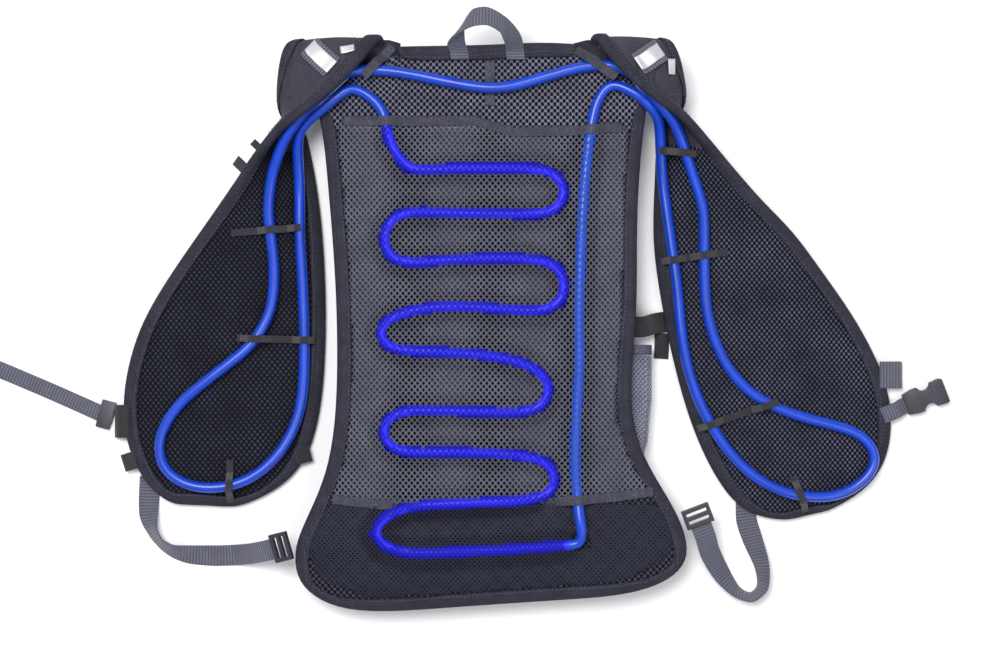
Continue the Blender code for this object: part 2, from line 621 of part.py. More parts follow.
def back_grid():
    left_neck, left_arm = (seam_gap("left", p) for p in corner_seam("left"))
    right_neck, right_arm = (seam_gap("right", p) for p in corner_seam("right"))
    left = [left_arm] + [back_point(*p) for p in LEFT_EDGE]
    right = [right_arm] + [back_point(*p) for p in RIGHT_EDGE]
    bottom = [left[-1]] + [back_point(*p) for p in BOTTOM_EDGE] + [right[-1]]
    top = [left_arm, left_arm.lerp(left_neck, 0.5), left_neck]
    top += [back_point(*p) for p in TOP_EDGE]
    top += [right_neck, right_arm.lerp(right_neck, 0.5), right_arm]
    rows, cols = len(left) - 1, len(top) - 1
    grid = []
    for r in range(rows + 1):
        v = r / rows
        row = []
        for c in range(cols + 1):
            u = c / cols
            corners = ((1 - u) * (1 - v) * top[0] + u * (1 - v) * top[-1]
                       + (1 - u) * v * bottom[0] + u * v * bottom[-1])
            point = (1 - v) * top[c] + v * bottom[c] + (1 - u) * left[r] + u * right[r] - corners
            point.z = back_height(point.x, point.y)
            row.append(point)
        grid.append(row)
    return grid


def make_back():
    sheet = ring_sheet(back_grid())
    finish_sheet("back_panel", sheet, material("spacer_mesh", MESH_GREY, 0.9))
    cols, count = sheet["cols"], len(sheet["ring"])
    make_binding("back_binding", sheet, cols, count, END_TRIM)
    make_binding("top_binding", sheet, 2, cols - 2, END_TRIM)
    return sheet


# Chest panels

def section_points(side):
    """Rows of points from the neck edge to the arm edge of a strap and chest panel."""
    table = SECTIONS[side]
    necks = [chest_place(side, row[0], row[1], row[2]) for row in table]
    arms = [chest_place(side, row[3], row[4], row[5]) for row in table]
    necks[0], arms[0] = corner_seam(side)
    grid = []
    for i, row in enumerate(table):
        before, after = max(i - 1, 0), min(i + 1, len(table) - 1)
        along = (necks[after] + arms[after]) - (necks[before] + arms[before])
        across = arms[i] - necks[i]
        outer = across.cross(along).normalized() * -ACROSS_SIGN[side]
        points = []
        for step in range(SECTION_STEPS + 1):
            t = step / SECTION_STEPS
            hump = row[6] * 4 * t * (1 - t) - row[7] * max(0.0, 1 - abs(t - CREASE_PLACE) / CREASE_SPREAD)
            points.append(necks[i].lerp(arms[i], t) + outer * hump * STRAP_PUFF)
        grid.append(points)
    return grid


def make_chest(side):
    sheet = ring_sheet(section_points(side))
    mesh = material("spacer_mesh", MESH_GREY, 0.9)
    finish_sheet("chest_panel_" + side, sheet, mesh, SECTION_STEPS + 1)
    make_binding("chest_binding_" + side, sheet, sheet["cols"] + 1, len(sheet["ring"]) - 1)
    return sheet


def surface_of(*names):
    """The finished pieces of these names as one surface to lie on."""
    vertices, polygons = [], []
    for name in names:
        mesh = bpy.data.objects[name].data
        start = len(vertices)
        vertices += [v.co.copy() for v in mesh.vertices]
        polygons += [[start + i for i in p.vertices] for p in mesh.polygons]
    return BVHTree.FromPolygons(vertices, polygons)


def surface_below(tree, place):
    """The surface's point straight below a place and its normal, or the floor's."""
    hit, normal, _, _ = tree.ray_cast(Vector((place.x, place.y, 1.0)), Vector((0, 0, -1)))
    if hit is None:
        return Vector((place.x, place.y, 0.0)), Vector((0, 0, 1))
    return hit, normal if normal.z > 0 else -normal


def lay(tree, place, lift):
    """A point lifted from the surface below a place, along the surface's normal."""
    hit, normal = surface_below(tree, place)
    return hit + normal * lift


def laid_stations(tree, start, end, width, steps):
    """Stations of a flat tape along a line in plan, clear of all that is below its width."""
    run = (end - start).xy.normalized()
    side = Vector((-run.y, run.x, 0.0))
    stations = []
    for step in range(steps + 1):
        place = start.lerp(end, step / steps)
        probes = [surface_below(tree, place + side * width * share)[0] for share in (-0.5, -0.2, 0.2, 0.5)]
        slope = (probes[-1] - probes[0]).normalized()
        middle = (probes[0] + probes[-1]) / 2
        up = slope.cross(Vector((run.x, run.y, 0.0)))
        up = (up if up.z > 0 else -up).normalized()
        proud = max(0.0, max((probe - middle).dot(up) for probe in probes))
        stations.append((middle + up * proud, slope, up))
    return stations


def lay_tape(name, stations, width, thickness, finish, base=0.0):
    """A tape on laid stations, over whatever already lies there to a height of base."""
    lift = base + CLEARANCE + LAY_SLACK + thickness / 2
    return make_strap(name, [(place + up * lift, slope) for place, slope, up in stations],
                      width, thickness, finish)


# Hose

def clear_of(tree, point, distance):
    """Moves a point away from a surface until it is at least a distance from it."""
    hit, _, _, gap = tree.find_nearest(point)
    if gap >= distance or gap < 1e-6:
        return point
    return hit + (point - hit) * (distance / gap)


def clear_of_itself(path):
    """Moves points of a closed path away from its other stretches, half the lack at a time."""
    count = len(path)
    wanted = HOSE_DIAMETER + HOSE_SLACK
    made = [point.copy() for point in path]
    for i, point in enumerate(path):
        for j in range(count):
            apart = min((i - j) % count, (j - i) % count)
            a, b = path[j], path[(j + 1) % count]
            if apart < 4 or (a - point).length > HOSE_STEP + wanted:
                continue
            leg = b - a
            nearest = a + leg * min(1.0, max(0.0, (point - a).dot(leg) / leg.length_squared))
            gap = (point - nearest).length
            if 1e-6 < gap < wanted:
                made[i] += (point - nearest) * ((wanted - gap) / gap / 2)
    return made


def hose_path(trees):
    """The closed route: neck run, right chest, riser, serpentine, left chest."""
    flat = PANEL_THICKNESS / 2 + HOSE_LIFT
    over_net = PANEL_THICKNESS / 2 + HOSE_OVER_NET
    points = [back_point(x, y, flat) for x, y in NECK_RUN]
    points[0].z += TAPE_THICKNESS
    points[3].z += TAPE_THICKNESS + 2 * CLEARANCE
    points += [chest_place("right", *p) for p in RIGHT_DEPARTURE]
    points += [lay(trees["right"], chest_place("right", *p), HOSE_LIFT) for p in CHEST_LOOPS["right"]]
    points += [chest_place("right", *p) for p in RIGHT_RETURN]
    points += [back_point(x, y, flat) for x, y in RISER]
    points += [back_point(x, y, over_net) for x, y in RISER_OVER_NET]
    points += [back_point(x, y, flat) for x, y in SERPENTINE]
    points += [chest_place("left", *p) for p in LEFT_DEPARTURE]
    points += [lay(trees["left"], chest_place("left", *p), HOSE_LIFT) for p in CHEST_LOOPS["left"]]
    points += [chest_place("left", *p) for p in LEFT_RETURN]
    path = smooth_path(points, HOSE_STEP, closed=True)
    for _ in range(CLEARING_ROUNDS):
        path = clear_of_itself(path)
        for tree in trees.values():
            path = [clear_of(tree, point, HOSE_RADIUS + HOSE_SLACK) for point in path]
    return path


def make_hose(path):
    curve = bpy.data.curves.new("cooling_hose", "CURVE")
    curve.dimensions = "3D"
    spline = curve.splines.new("POLY")
    spline.points.add(len(path) - 1)
    for point, place in zip(spline.points, path):
        point.co = (*place, 1.0)
    spline.use_cyclic_u = True
    curve.bevel_depth = HOSE_RADIUS
    curve.bevel_resolution = 2
    curve.use_fill_caps = True
    curve.materials.append(material("hose_blue", HOSE_BLUE, 0.25))
    made = bpy.data.objects.new("cooling_hose", curve)
    bpy.context.scene.collection.objects.link(made)
    return made


# Straps

def strap_body(stations, width, thickness):
    """A flat strap through stations of a centre and the direction of its width."""
    bm = bmesh.new()
    loops = []
    last = len(stations) - 1
    for i, (centre, across) in enumerate(stations):
        along = stations[min(i + 1, last)][0] - stations[max(i - 1, 0)][0]
        side = across.normalized()
        up = side.cross(along).normalized()
        half, rise = side * width / 2, up * thickness / 2
        loops.append([centre - half - rise, centre + half - rise, centre + half + rise, centre - half + rise])
    rings = loft_loops(bm, loops)
    bm.faces.new(rings[0])
    bm.faces.new(rings[-1])
    bmesh.ops.triangulate(bm, faces=[f for f in bm.faces if len(f.verts) == 4])
    return bm


def make_strap(name, stations, width, thickness, finish):
    return add_object(name, strap_body(stations, width, thickness), finish, SMOOTH_ANGLE)


def plan_crossings(path, start, end):
    """Where the hose passes between two points in plan: share, height and sine of the angle."""
    found = []
    run = (end - start).xy
    for i, a in enumerate(path):
        b = path[(i + 1) % len(path)]
        leg = (b - a).xy
        cross = run.x * leg.y - run.y * leg.x
        if abs(cross) < 1e-12:
            continue
        gap = (a - start).xy
        t = (gap.x * leg.y - gap.y * leg.x) / cross
        s = (gap.x * run.y - gap.y * run.x) / cross
        if 0 < t < 1 and 0 <= s < 1:
            found.append((t, a.lerp(b, s).z, abs(cross) / (run.length * leg.length)))
    return sorted(found)


def hose_height(path, place):
    """How high a tape's middle must be at a place in plan to pass over the hose, if it is near."""
    reach = HOSE_RADIUS + HOSE_SLACK + TAPE_THICKNESS / 2
    height = -1.0
    for i, a in enumerate(path):
        b = path[(i + 1) % len(path)]
        leg = (b - a).xy
        share = min(1.0, max(0.0, (place - a).xy.dot(leg) / leg.dot(leg)))
        nearest = a.lerp(b, share)
        gap = (place - nearest).xy.length
        if gap < reach:
            steep = (b - a).length / leg.length
            height = max(height, nearest.z + math.sqrt(reach * reach - gap * gap) * steep)
    return height


def make_keeper(name, start, end, tree, path, width=KEEPER_WIDTH):
    """A short tape from start to end that climbs over each hose in its way."""
    run = (end - start).xy.length
    side = Vector((start.y - end.y, end.x - start.x, 0.0)).normalized()
    probes = [side * width * offset for offset in (-0.5, 0.0, 0.5)]
    places = {step / KEEPER_STEPS: None for step in range(KEEPER_STEPS + 1)}
    tops, feet = {}, []
    for t, _, slant in plan_crossings(path, start, end):
        skew = width / 2 * math.sqrt(1 - slant * slant)
        flat = ((HOSE_RADIUS + HOSE_SLACK) * KEEPER_TOP + skew) / slant / run
        foot = ((HOSE_RADIUS + HOSE_SLACK) + skew) / slant / run + KEEPER_FOOT / run
        places = {s: h for s, h in places.items() if abs(s - t) > foot or s in (0.0, 1.0)}
        top = max(hose_height(path, start.lerp(end, t) + probe) for probe in probes)
        tops.update({t - flat: top, t + flat: top})
        feet.append((t, foot))
    for t, foot in feet:
        for share in (t - foot, t + foot):
            if all(abs(share - other) > reach - 1e-6 for other, reach in feet):
                places[share] = None
    places.update(tops)
    rest = CLEARANCE + LAY_SLACK + TAPE_THICKNESS / 2
    centres = []
    for share in sorted(share for share in places if 0 <= share <= 1):
        place = start.lerp(end, share)
        height = places[share]
        if height is None:
            spots = [place + probe for probe in probes]
            height = max(max(surface_below(tree, p)[0].z + rest, hose_height(path, p)) for p in spots)
        centres.append(Vector((place.x, place.y, height)))
    finish = material("keeper_tape", BLACK, 0.85)
    return make_strap(name, [(centre, side) for centre in centres], width, TAPE_THICKNESS, finish)


def make_keepers(trees, path):
    for side, keepers in CHEST_KEEPERS.items():
        for name, (start, end) in keepers.items():
            make_keeper(name, chest_place(side, *start), chest_place(side, *end), trees[side], path)
    for name, (start, end) in TOP_KEEPERS.items():
        make_keeper(name, back_point(*start), back_point(*end), trees["back"], path, TOP_KEEPER_WIDTH)


# Handle, bands, loose straps and buckles

def make_handle():
    """Webbing from foot to foot on the top binding, standing up and leaning outward."""
    base = PANEL_THICKNESS / 2 + BINDING_WALL + 2 * CLEARANCE + WEBBING_THICKNESS / 2
    stations = []
    for across, up, height, turn in HANDLE:
        lift = base + height * HANDLE_RISE
        side = Vector((1.0 - turn, turn, 0.0))
        stations.append((back_point(across, up, lift), side))
    make_strap("handle", stations, HANDLE_WIDTH, WEBBING_THICKNESS, material("webbing_grey", WEBBING_GREY, 0.8))


def make_shoulder_bands(trees):
    webbing = material("webbing_grey", WEBBING_GREY, 0.8)
    silver = material("reflective_tape", SILVER, 0.4)
    for side, (start, end) in SHOULDER_BANDS.items():
        ends = chest_place(side, *start), chest_place(side, *end)
        stations = laid_stations(trees[side], *ends, BAND_WIDTH, BAND_STEPS)
        lay_tape("shoulder_band_" + side, stations, BAND_WIDTH, WEBBING_THICKNESS, webbing)
        over = WEBBING_THICKNESS + LAY_SLACK + CLEARANCE
        lay_tape("reflective_strip_" + side, stations, REFLECTIVE_WIDTH, REFLECTIVE_THICKNESS, silver, over)
    for side, (start, end) in REFLECTIVE_ENDS.items():
        ends = chest_place(side, *start), chest_place(side, *end)
        stations = laid_stations(trees[side], *ends, REFLECTIVE_END_WIDTH, REFLECTIVE_END_STEPS)
        lay_tape("reflective_end_" + side, stations, REFLECTIVE_END_WIDTH, REFLECTIVE_THICKNESS, silver)


def strap_stations(side, table, width, thickness, ends=()):
    """Stations of a strap off the panels, each as low as its own lean and lower edge allow."""
    places = [chest_place(side, across, down) for across, down, _, _ in table]
    places += [Vector((across * HALF_WIDTH, up * HALF_HEIGHT, 0.0)) for across, up, _, _ in ends]
    stations = []
    level = Vector((0, 0, 0))
    for i, (_, _, height, lean) in enumerate((*table, *ends)):
        run = (places[min(i + 1, len(places) - 1)] - places[max(i - 1, 0)]).xy
        if run.length > thickness / 2:
            square = Vector((-run.y, run.x, 0.0)).normalized()
            level = -square if square.dot(level) < 0 else square
        turned = math.radians(lean)
        across = level * math.cos(turned) + Vector((0, 0, math.sin(turned)))
        rise = width / 2 * math.sin(turned) + thickness / 2 * math.cos(turned)
        stations.append((Vector((places[i].x, places[i].y, height * BAG_DEPTH + rise)), across))
    return stations


def make_loose_straps():
    grey = material("webbing_grey", WEBBING_GREY, 0.8)
    black = material("webbing_black", BLACK, 0.8)
    rows = (
        ("sternum_strap_left", "left", STERNUM_STRAP, STERNUM_WIDTH, grey),
        ("sternum_anchor_left", "left", STERNUM_ANCHOR, ANCHOR_WIDTH, black),
        ("sternum_stub_right", "right", STERNUM_STUB, STERNUM_WIDTH, grey),
        ("webbing_loop_right", "right", WEBBING_LOOP, WEBBING_LOOP_WIDTH, grey),
        ("side_strap_left", "left", SIDE_STRAPS["left"], WEBBING_WIDTH, grey),
        ("side_strap_right", "right", SIDE_STRAPS["right"], WEBBING_WIDTH, grey),
        ("compression_strap", "right", COMPRESSION_STRAP, WEBBING_WIDTH, black),
        ("compression_tail", "right", COMPRESSION_TAIL, COMPRESSION_TAIL_WIDTH, black),
    )
    made = {}
    for name, side, table, width, finish in rows:
        ends = SIDE_STRAP_ENDS[side] if name.startswith("side_strap") else ()
        stations = strap_stations(side, table, width, WEBBING_THICKNESS, ends)
        made[name] = stations
        make_strap(name, stations, width, WEBBING_THICKNESS, finish)
    return made


def frame_at(stations, at_end, forward):
    """Centre and turn of a piece of hardware on a strap's end, forward along the strap."""
    last, before = (stations[-1][0], stations[-2][0]) if at_end else (stations[0][0], stations[1][0])
    along = (last - before).normalized()
    across = Vector((-along.y, along.x, 0.0)).normalized()
    up = along.cross(across)
    if up.z < 0:
        across, up = -across, -up
    return last + along * forward, along, across, up


def turned_box(name, frame, size, offset, finish):
    """A box of length, width and depth in a frame, moved along its length and depth."""
    centre, along, across, up = frame
    bm = bmesh.new()
    bmesh.ops.create_cube(bm, size=1.0)
    for vert in bm.verts:
        place = Vector((vert.co.x * size[0] + offset[0], vert.co.y * size[1] + offset[1],
                        vert.co.z * size[2] + offset[2]))
        vert.co = centre + along * place.x + across * place.y + up * place.z
    return add_object(name, bm, finish)


def prism(name, frame, outline, depth, finish):
    """An outline in along and across, extruded evenly to both sides of the frame's plane."""
    centre, along, across, up = frame
    bm = bmesh.new()
    loops = []
    for level in (-depth / 2, depth / 2):
        loops.append([centre + along * x + across * y + up * level for x, y in outline])
    rings = loft_loops(bm, loops)
    bm.faces.new(rings[0])
    bm.faces.new(rings[-1])
    return add_object(name, bm, finish)


def make_buckles(straps):
    """The two halves of a side-release buckle, each on the end of its strap."""
    plastic = material("plastic_grey", PLASTIC_GREY, 0.5)
    slot = (2 * STRAP_IN, STERNUM_WIDTH + 4 * SLOT_PLAY, WEBBING_THICKNESS + 2 * SLOT_PLAY)
    half = BUCKLE_WIDTH / 2
    frame = frame_at(straps["sternum_strap_left"], True, 0.0)
    outline = [(x * MALE_LENGTH, y * half) for x, y in MALE_OUTLINE]
    male = prism("male_buckle", frame, outline, MALE_DEPTH, plastic)
    cut_with(male, turned_box("male_slot", frame, slot, (0, 0, 0), plastic))
    frame = frame_at(straps["sternum_stub_right"], True, 0.0)
    outline = [(x * FEMALE_LENGTH, y * half) for x, y in FEMALE_OUTLINE]
    female = prism("female_buckle", frame, outline, FEMALE_DEPTH, plastic)
    cut_with(female, turned_box("female_slot", frame, slot, (0, 0, 0), plastic))
    mouth = (FEMALE_LENGTH, BUCKLE_WIDTH - 2 * FEMALE_SIDE, FEMALE_DEPTH - 2 * FEMALE_SKIN)
    cut_with(female, turned_box("female_mouth", frame, mouth, (FEMALE_LENGTH, 0, 0), plastic))
    window = (WINDOW_LENGTH, BUCKLE_WIDTH + 2 * FEMALE_SIDE, WINDOW_DEPTH)
    cut_with(female, turned_box("female_window", frame, window, (WINDOW_PLACE, 0, 0), plastic))


def make_slider(straps):
    """A short sleeve round the sternum strap, next to its anchor."""
    plastic = material("plastic_grey", PLASTIC_GREY, 0.5)
    frame = frame_at(straps["sternum_strap_left"], False, -SLIDER_BACK)
    wide = STERNUM_WIDTH + 4 * SLOT_PLAY
    deep = WEBBING_THICKNESS + 2 * SLOT_PLAY
    size = (SLIDER_LENGTH, wide + 2 * SLIDER_WALL, deep + 2 * SLIDER_SKIN)
    slider = turned_box("sternum_slider", frame, size, (0, 0, 0), plastic)
    cut_with(slider, turned_box("slider_slot", frame, (SLIDER_LENGTH * 2, wide, deep), (0, 0, 0), plastic))


def make_locks(straps):
    """Ladder locks at the far ends of the side straps, with two bars across."""
    plastic = material("plastic_grey", PLASTIC_GREY, 0.5)
    for side in ("left", "right"):
        frame = frame_at(straps["side_strap_" + side], True, LOCK_REACH)
        size = (LOCK_LENGTH, LOCK_WIDTH, LOCK_DEPTH)
        lock = turned_box("ladder_lock_" + side, frame, size, (0, 0, 0), plastic)
        slot = (LOCK_LENGTH - 3 * LOCK_BAR) / 2
        for i, sign in enumerate((-1, 1)):
            opening = (slot, LOCK_WIDTH - 2 * LOCK_BAR, LOCK_DEPTH * 2)
            offset = (sign * (slot + LOCK_BAR) / 2, 0, 0)
            cut_with(lock, turned_box("lock_slot_%s_%d" % (side, i + 1), frame, opening, offset, plastic))


def make_tabs(trees):
    finish = material("binding_tape", BINDING_GREY, 0.85)
    for name, (side, start, end, share) in TABS.items():
        start, end = chest_place(side, *start), chest_place(side, *end)
        hit, normal = surface_below(trees[side], start)
        run = (end - start).xy.to_3d()
        along = run - normal * run.dot(normal)
        first = hit + normal * (CLEARANCE + TAPE_THICKNESS / 2)
        across = normal.cross(along)
        stations = [(first, across), (first + along, across)]
        make_strap(name, stations, TAG_WIDTH * share, TAPE_THICKNESS, finish)


# Nets and tapes on the back

def edge_across(table, up):
    """The border's share across at a height, read from one edge table."""
    for (x0, y0), (x1, y1) in zip(table, table[1:]):
        if y0 >= up >= y1:
            return x0 + (x1 - x0) * (y0 - up) / (y0 - y1)
    return table[0][0] if up > table[0][1] else table[-1][0]


def net_grid():
    """Points of the fine net, raised wherever the hose runs under it."""
    grid = []
    last = len(NET_ROWS) - 1
    raised_at_end = {0: ENTRY_COLUMNS + RISER_COLUMNS, 1: ENTRY_COLUMNS + RISER_COLUMNS,
                     last: LOWER_COLUMNS, last - 1: LOWER_COLUMNS}
    inset = NET_INSET / HALF_WIDTH
    inner_columns = tuple(range(1, len(NET_COLUMNS) - 1))
    for r, up in enumerate(NET_ROWS):
        left = edge_across(LEFT_EDGE, up) + inset
        right = edge_across(RIGHT_EDGE, up) - inset
        raised = raised_at_end.get(r, inner_columns)
        row = []
        for c, share in enumerate(NET_COLUMNS):
            lift = PANEL_THICKNESS / 2 + (NET_HIGH if c in raised else NET_LOW)
            row.append(back_point(left + (right - left) * share, up, lift))
        grid.append(row)
    return grid


def lumbar_grid():
    grid = []
    inset = NET_INSET / HALF_WIDTH
    for r, share in enumerate(LUMBAR_SHARES):
        row = []
        side_up = LUMBAR_TOP + (LEFT_EDGE[-1][1] - LUMBAR_TOP) * share
        right_up = LUMBAR_TOP + (RIGHT_EDGE[-1][1] - LUMBAR_TOP) * share
        left = edge_across(LEFT_EDGE, side_up) + inset
        right = edge_across(RIGHT_EDGE, right_up) - inset
        for c, across in enumerate((left,) + LUMBAR_COLUMNS + (right,)):
            floor_up = edge_across_bottom(across) + NET_INSET / HALF_HEIGHT
            up = LUMBAR_TOP + (floor_up - LUMBAR_TOP) * share
            raised = c in LUMBAR_RAISED_COLUMNS and r in LUMBAR_RAISED_ROWS
            lift = NET_HIGH if raised else NET_LOW + NET_SLACK
            row.append(back_point(across, up, PANEL_THICKNESS / 2 + lift))
        grid.append(row)
    return grid


def edge_across_bottom(across):
    """The bottom border's share up at a share across."""
    for (x0, y0), (x1, y1) in zip(BOTTOM_EDGE, BOTTOM_EDGE[1:]):
        if x0 <= across <= x1:
            return y0 + (y1 - y0) * (across - x0) / (x1 - x0)
    return LEFT_EDGE[-1][1] if across < 0 else RIGHT_EDGE[-1][1]


def grid_faces(grid, holes=()):
    """The points and triangles of a grid, without the cells in holes."""
    cols = len(grid[0])
    quads = []
    for r in range(len(grid) - 1):
        for c in range(cols - 1):
            if (r, c) not in holes:
                start = r * cols + c
                quads.append((start, start + cols, start + cols + 1, start + 1))
    return [p for row in grid for p in row], split_quads(quads)


def sheet_object(name, grid, thickness, finish, holes=()):
    """A thin sheet over a grid, thickened straight up and down."""
    points, faces = grid_faces(grid, holes)
    normals = [Vector((0, 0, 1))] * len(points)
    return add_object(name, thicken(points, faces, normals, thickness), finish, SMOOTH_ANGLE)


def make_nets():
    fine = net_grid()
    net = material("cover_net", NET_GREY, 0.85)
    tape = material("seam_tape", BINDING_GREY, 0.85)
    sheet_object("cover_net", fine, NET_THICKNESS, net)
    holes = [(HOLE_ROW, c) for c in HOLE_COLUMNS]
    sheet_object("lumbar_net", lumbar_grid(), NET_THICKNESS, net, holes)
    lift = Vector((0, 0, NET_THICKNESS / 2 + CLEARANCE + TAPE_THICKNESS / 2))
    sheet_object("upper_tape", [[p + lift for p in row] for row in fine[:2]], TAPE_THICKNESS, tape)
    sheet_object("lower_tape", [[p + lift for p in row] for row in fine[-2:]], TAPE_THICKNESS, tape)


def make_centre_tape():
    finish = material("seam_tape", BINDING_GREY, 0.85)
    lift = PANEL_THICKNESS / 2 + CLEARANCE + TAPE_THICKNESS / 2
    upper = TOP_EDGE[1][1] - (BINDING_LEG + BINDING_WALL) / HALF_HEIGHT
    lower = NET_ROWS[0] + 2 * CLEARANCE / HALF_HEIGHT
    stations = [(back_point(TOP_EDGE[1][0], up, lift), Vector((1, 0, 0))) for up in (upper, lower)]
    make_strap("centre_tape", stations, TAPE_WIDTH, TAPE_THICKNESS, finish)


# Pack bag and side pocket

def rounded_outline(height, inset):
    """The pack's rounded outline at one height, as a loop of points."""
    side = BAG_WIDTH / 2 + BAG_SOFTNESS - BAG_CORNER
    top, bottom = BAG_TOP - BAG_CORNER, BAG_CORNER - BAG_BOTTOM
    radius = BAG_CORNER - inset
    points = []
    for x, y, start in ((side, top, 0), (-side, top, 90), (-side, bottom, 180), (side, bottom, 270)):
        for step in range(CORNER_STEPS + 1):
            angle = math.radians(start + 90 * step / CORNER_STEPS)
            points.append(Vector((x + radius * math.cos(angle), y + radius * math.sin(angle), height)))
    return points


def bag_loft(name, shrink):
    """The pack's pillow form, smaller all round by shrink."""
    bm = bmesh.new()
    loops = []
    for share, inset in BAG_RINGS:
        height = shrink + (BAG_DEPTH - 2 * shrink) * share
        loops.append(rounded_outline(height, inset + shrink))
    rings = loft_loops(bm, loops)
    bm.faces.new(rings[0])
    bm.faces.new(rings[-1])
    return add_object(name, bm, material("pack_fabric", MESH_GREY, 0.8), SMOOTH_ANGLE)


def hide_cutter(cutter):
    cutter.hide_render = True
    cutter.display_type = "WIRE"


def cut_with(body, cutter):
    hide_cutter(cutter)
    cut = body.modifiers.new("cut_" + cutter.name, "BOOLEAN")
    cut.operation = "DIFFERENCE"
    cut.solver = "EXACT"
    cut.object = cutter


def box_object(name, low, high, finish):
    bm = bmesh.new()
    size = high - low
    bmesh.ops.create_cube(bm, size=1.0)
    bmesh.ops.scale(bm, vec=size, verts=bm.verts)
    bmesh.ops.translate(bm, vec=(low + high) / 2, verts=bm.verts)
    return add_object(name, bm, finish)


def make_bag():
    bag = bag_loft("pack_bag", 0.0)
    cut_with(bag, bag_loft("pack_inside", BAG_WALL))
    fabric = bag.data.materials[0]
    outside = BAG_TOP + 2 * BAG_SOFTNESS
    inside = BAG_TOP - BAG_CORNER
    low = Vector((-MOUTH_WIDTH / 2, inside, (BAG_DEPTH - MOUTH_HEIGHT) / 2))
    high = Vector((MOUTH_WIDTH / 2, outside, (BAG_DEPTH + MOUTH_HEIGHT) / 2))
    cut_with(bag, box_object("pack_mouth", low, high, fabric))


def pocket_profile(reach):
    """Half-round profile from the pack's upper side wall to its lower one, in X and Z."""
    wall = BAG_WIDTH / 2 + BAG_SOFTNESS + CLEARANCE + POCKET_WALL / 2
    low = BAG_DEPTH * BAG_ROLL
    high = BAG_DEPTH * (1 - BAG_ROLL)
    points = []
    for step in range(POCKET_STEPS + 1):
        angle = math.radians(90 - 180 * step / POCKET_STEPS)
        x = wall + reach * math.cos(angle)
        z = (low + high) / 2 + (high - low) / 2 * math.sin(angle)
        points.append((x, z))
    return points


def make_pocket():
    mesh = material("pocket_mesh", NET_GREY, 0.8)
    grid = []
    for along, reach in POCKET_SHARES:
        y = POCKET_TOP - POCKET_LENGTH * along
        grid.append([Vector((x, y, z)) for x, z in pocket_profile(POCKET_REACH * reach)])
    curved_sheet("side_pocket", grid, POCKET_WALL, mesh)
    hem = []
    for y in (POCKET_TOP + HEM_HEIGHT + CLEARANCE, POCKET_TOP + CLEARANCE):
        hem.append([Vector((x + (HEM_WALL - POCKET_WALL) / 2, y, z)) for x, z in pocket_profile(POCKET_REACH)])
    curved_sheet("side_pocket_hem", hem, HEM_WALL, material("binding_tape", BINDING_GREY, 0.85))


def curved_sheet(name, grid, thickness, finish):
    """A sheet over a curved grid, thickened along its own normals."""
    points, faces = grid_faces(grid)
    normals = point_normals(points, faces)
    return add_object(name, thicken(points, faces, normals, thickness), finish, SMOOTH_ANGLE)


def clear_scene():
    for old in list(bpy.data.objects):
        bpy.data.objects.remove(old, do_unlink=True)


def main():
    clear_scene()
    make_back()
    trees = {"back": surface_of("back_panel", "back_binding", "top_binding")}
    for side in ("left", "right"):
        make_chest(side)
        trees[side] = surface_of("chest_panel_" + side, "chest_binding_" + side)
    path = hose_path(trees)
    make_hose(path)
    make_keepers(trees, path)
    make_nets()
    make_centre_tape()
    make_bag()
    make_pocket()
    make_handle()
    make_shoulder_bands(trees)
    straps = make_loose_straps()
    make_buckles(straps)
    make_slider(straps)
    make_locks(straps)
    make_tabs(trees)


main()
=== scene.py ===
"""The looks of a water-circulating cooling vest, lying open on its pack, laid out as an add-on.

Every piece is dressed from the solid that carries it: the solid's mesh is copied, merged and
refined, or its stations are read back and swept again with a finer section.
"""

import math

import bmesh
import bpy
import numpy as np
from mathutils import Matrix, Vector
from mathutils.bvhtree import BVHTree


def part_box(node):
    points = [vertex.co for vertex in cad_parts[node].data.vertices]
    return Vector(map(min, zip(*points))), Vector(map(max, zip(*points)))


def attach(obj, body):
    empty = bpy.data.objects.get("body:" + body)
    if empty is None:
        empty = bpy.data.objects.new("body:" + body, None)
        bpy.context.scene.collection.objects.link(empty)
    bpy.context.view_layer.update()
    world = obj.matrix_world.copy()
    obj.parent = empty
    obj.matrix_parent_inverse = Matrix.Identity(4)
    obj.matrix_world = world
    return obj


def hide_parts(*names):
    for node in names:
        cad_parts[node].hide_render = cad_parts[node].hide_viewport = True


bl_info = {
    "name": "Cooling vest looks",
    "version": (1, 0, 0),
    "blender": (4, 5, 0),
    "location": "View3D > Sidebar > Vest",
    "description": "Dresses the solids of a backpack cooling vest in mesh, tape, webbing and hose",
    "category": "Object",
}

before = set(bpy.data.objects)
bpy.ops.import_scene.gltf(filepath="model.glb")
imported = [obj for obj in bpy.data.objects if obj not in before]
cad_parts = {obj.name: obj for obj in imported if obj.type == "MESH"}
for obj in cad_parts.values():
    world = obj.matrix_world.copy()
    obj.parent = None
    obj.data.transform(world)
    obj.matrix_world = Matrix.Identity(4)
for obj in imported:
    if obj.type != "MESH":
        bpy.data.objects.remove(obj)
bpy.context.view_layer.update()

MM = 0.001
SIDES = ("left", "right")

# How the solids' meshes are read: equal points, equal lengths, and how far a corner may be from square
MERGE_DISTANCE = 1e-6
EXACT = 1.5e-5
SQUARE_SLACK = 30

# Angles between faces: at a seam or a sharp border, and of two triangles that make one quad
SEAM_ANGLE = math.radians(55)
PAIR_ANGLE = math.radians(40)
PAIR_SHAPE_ANGLE = math.radians(75)

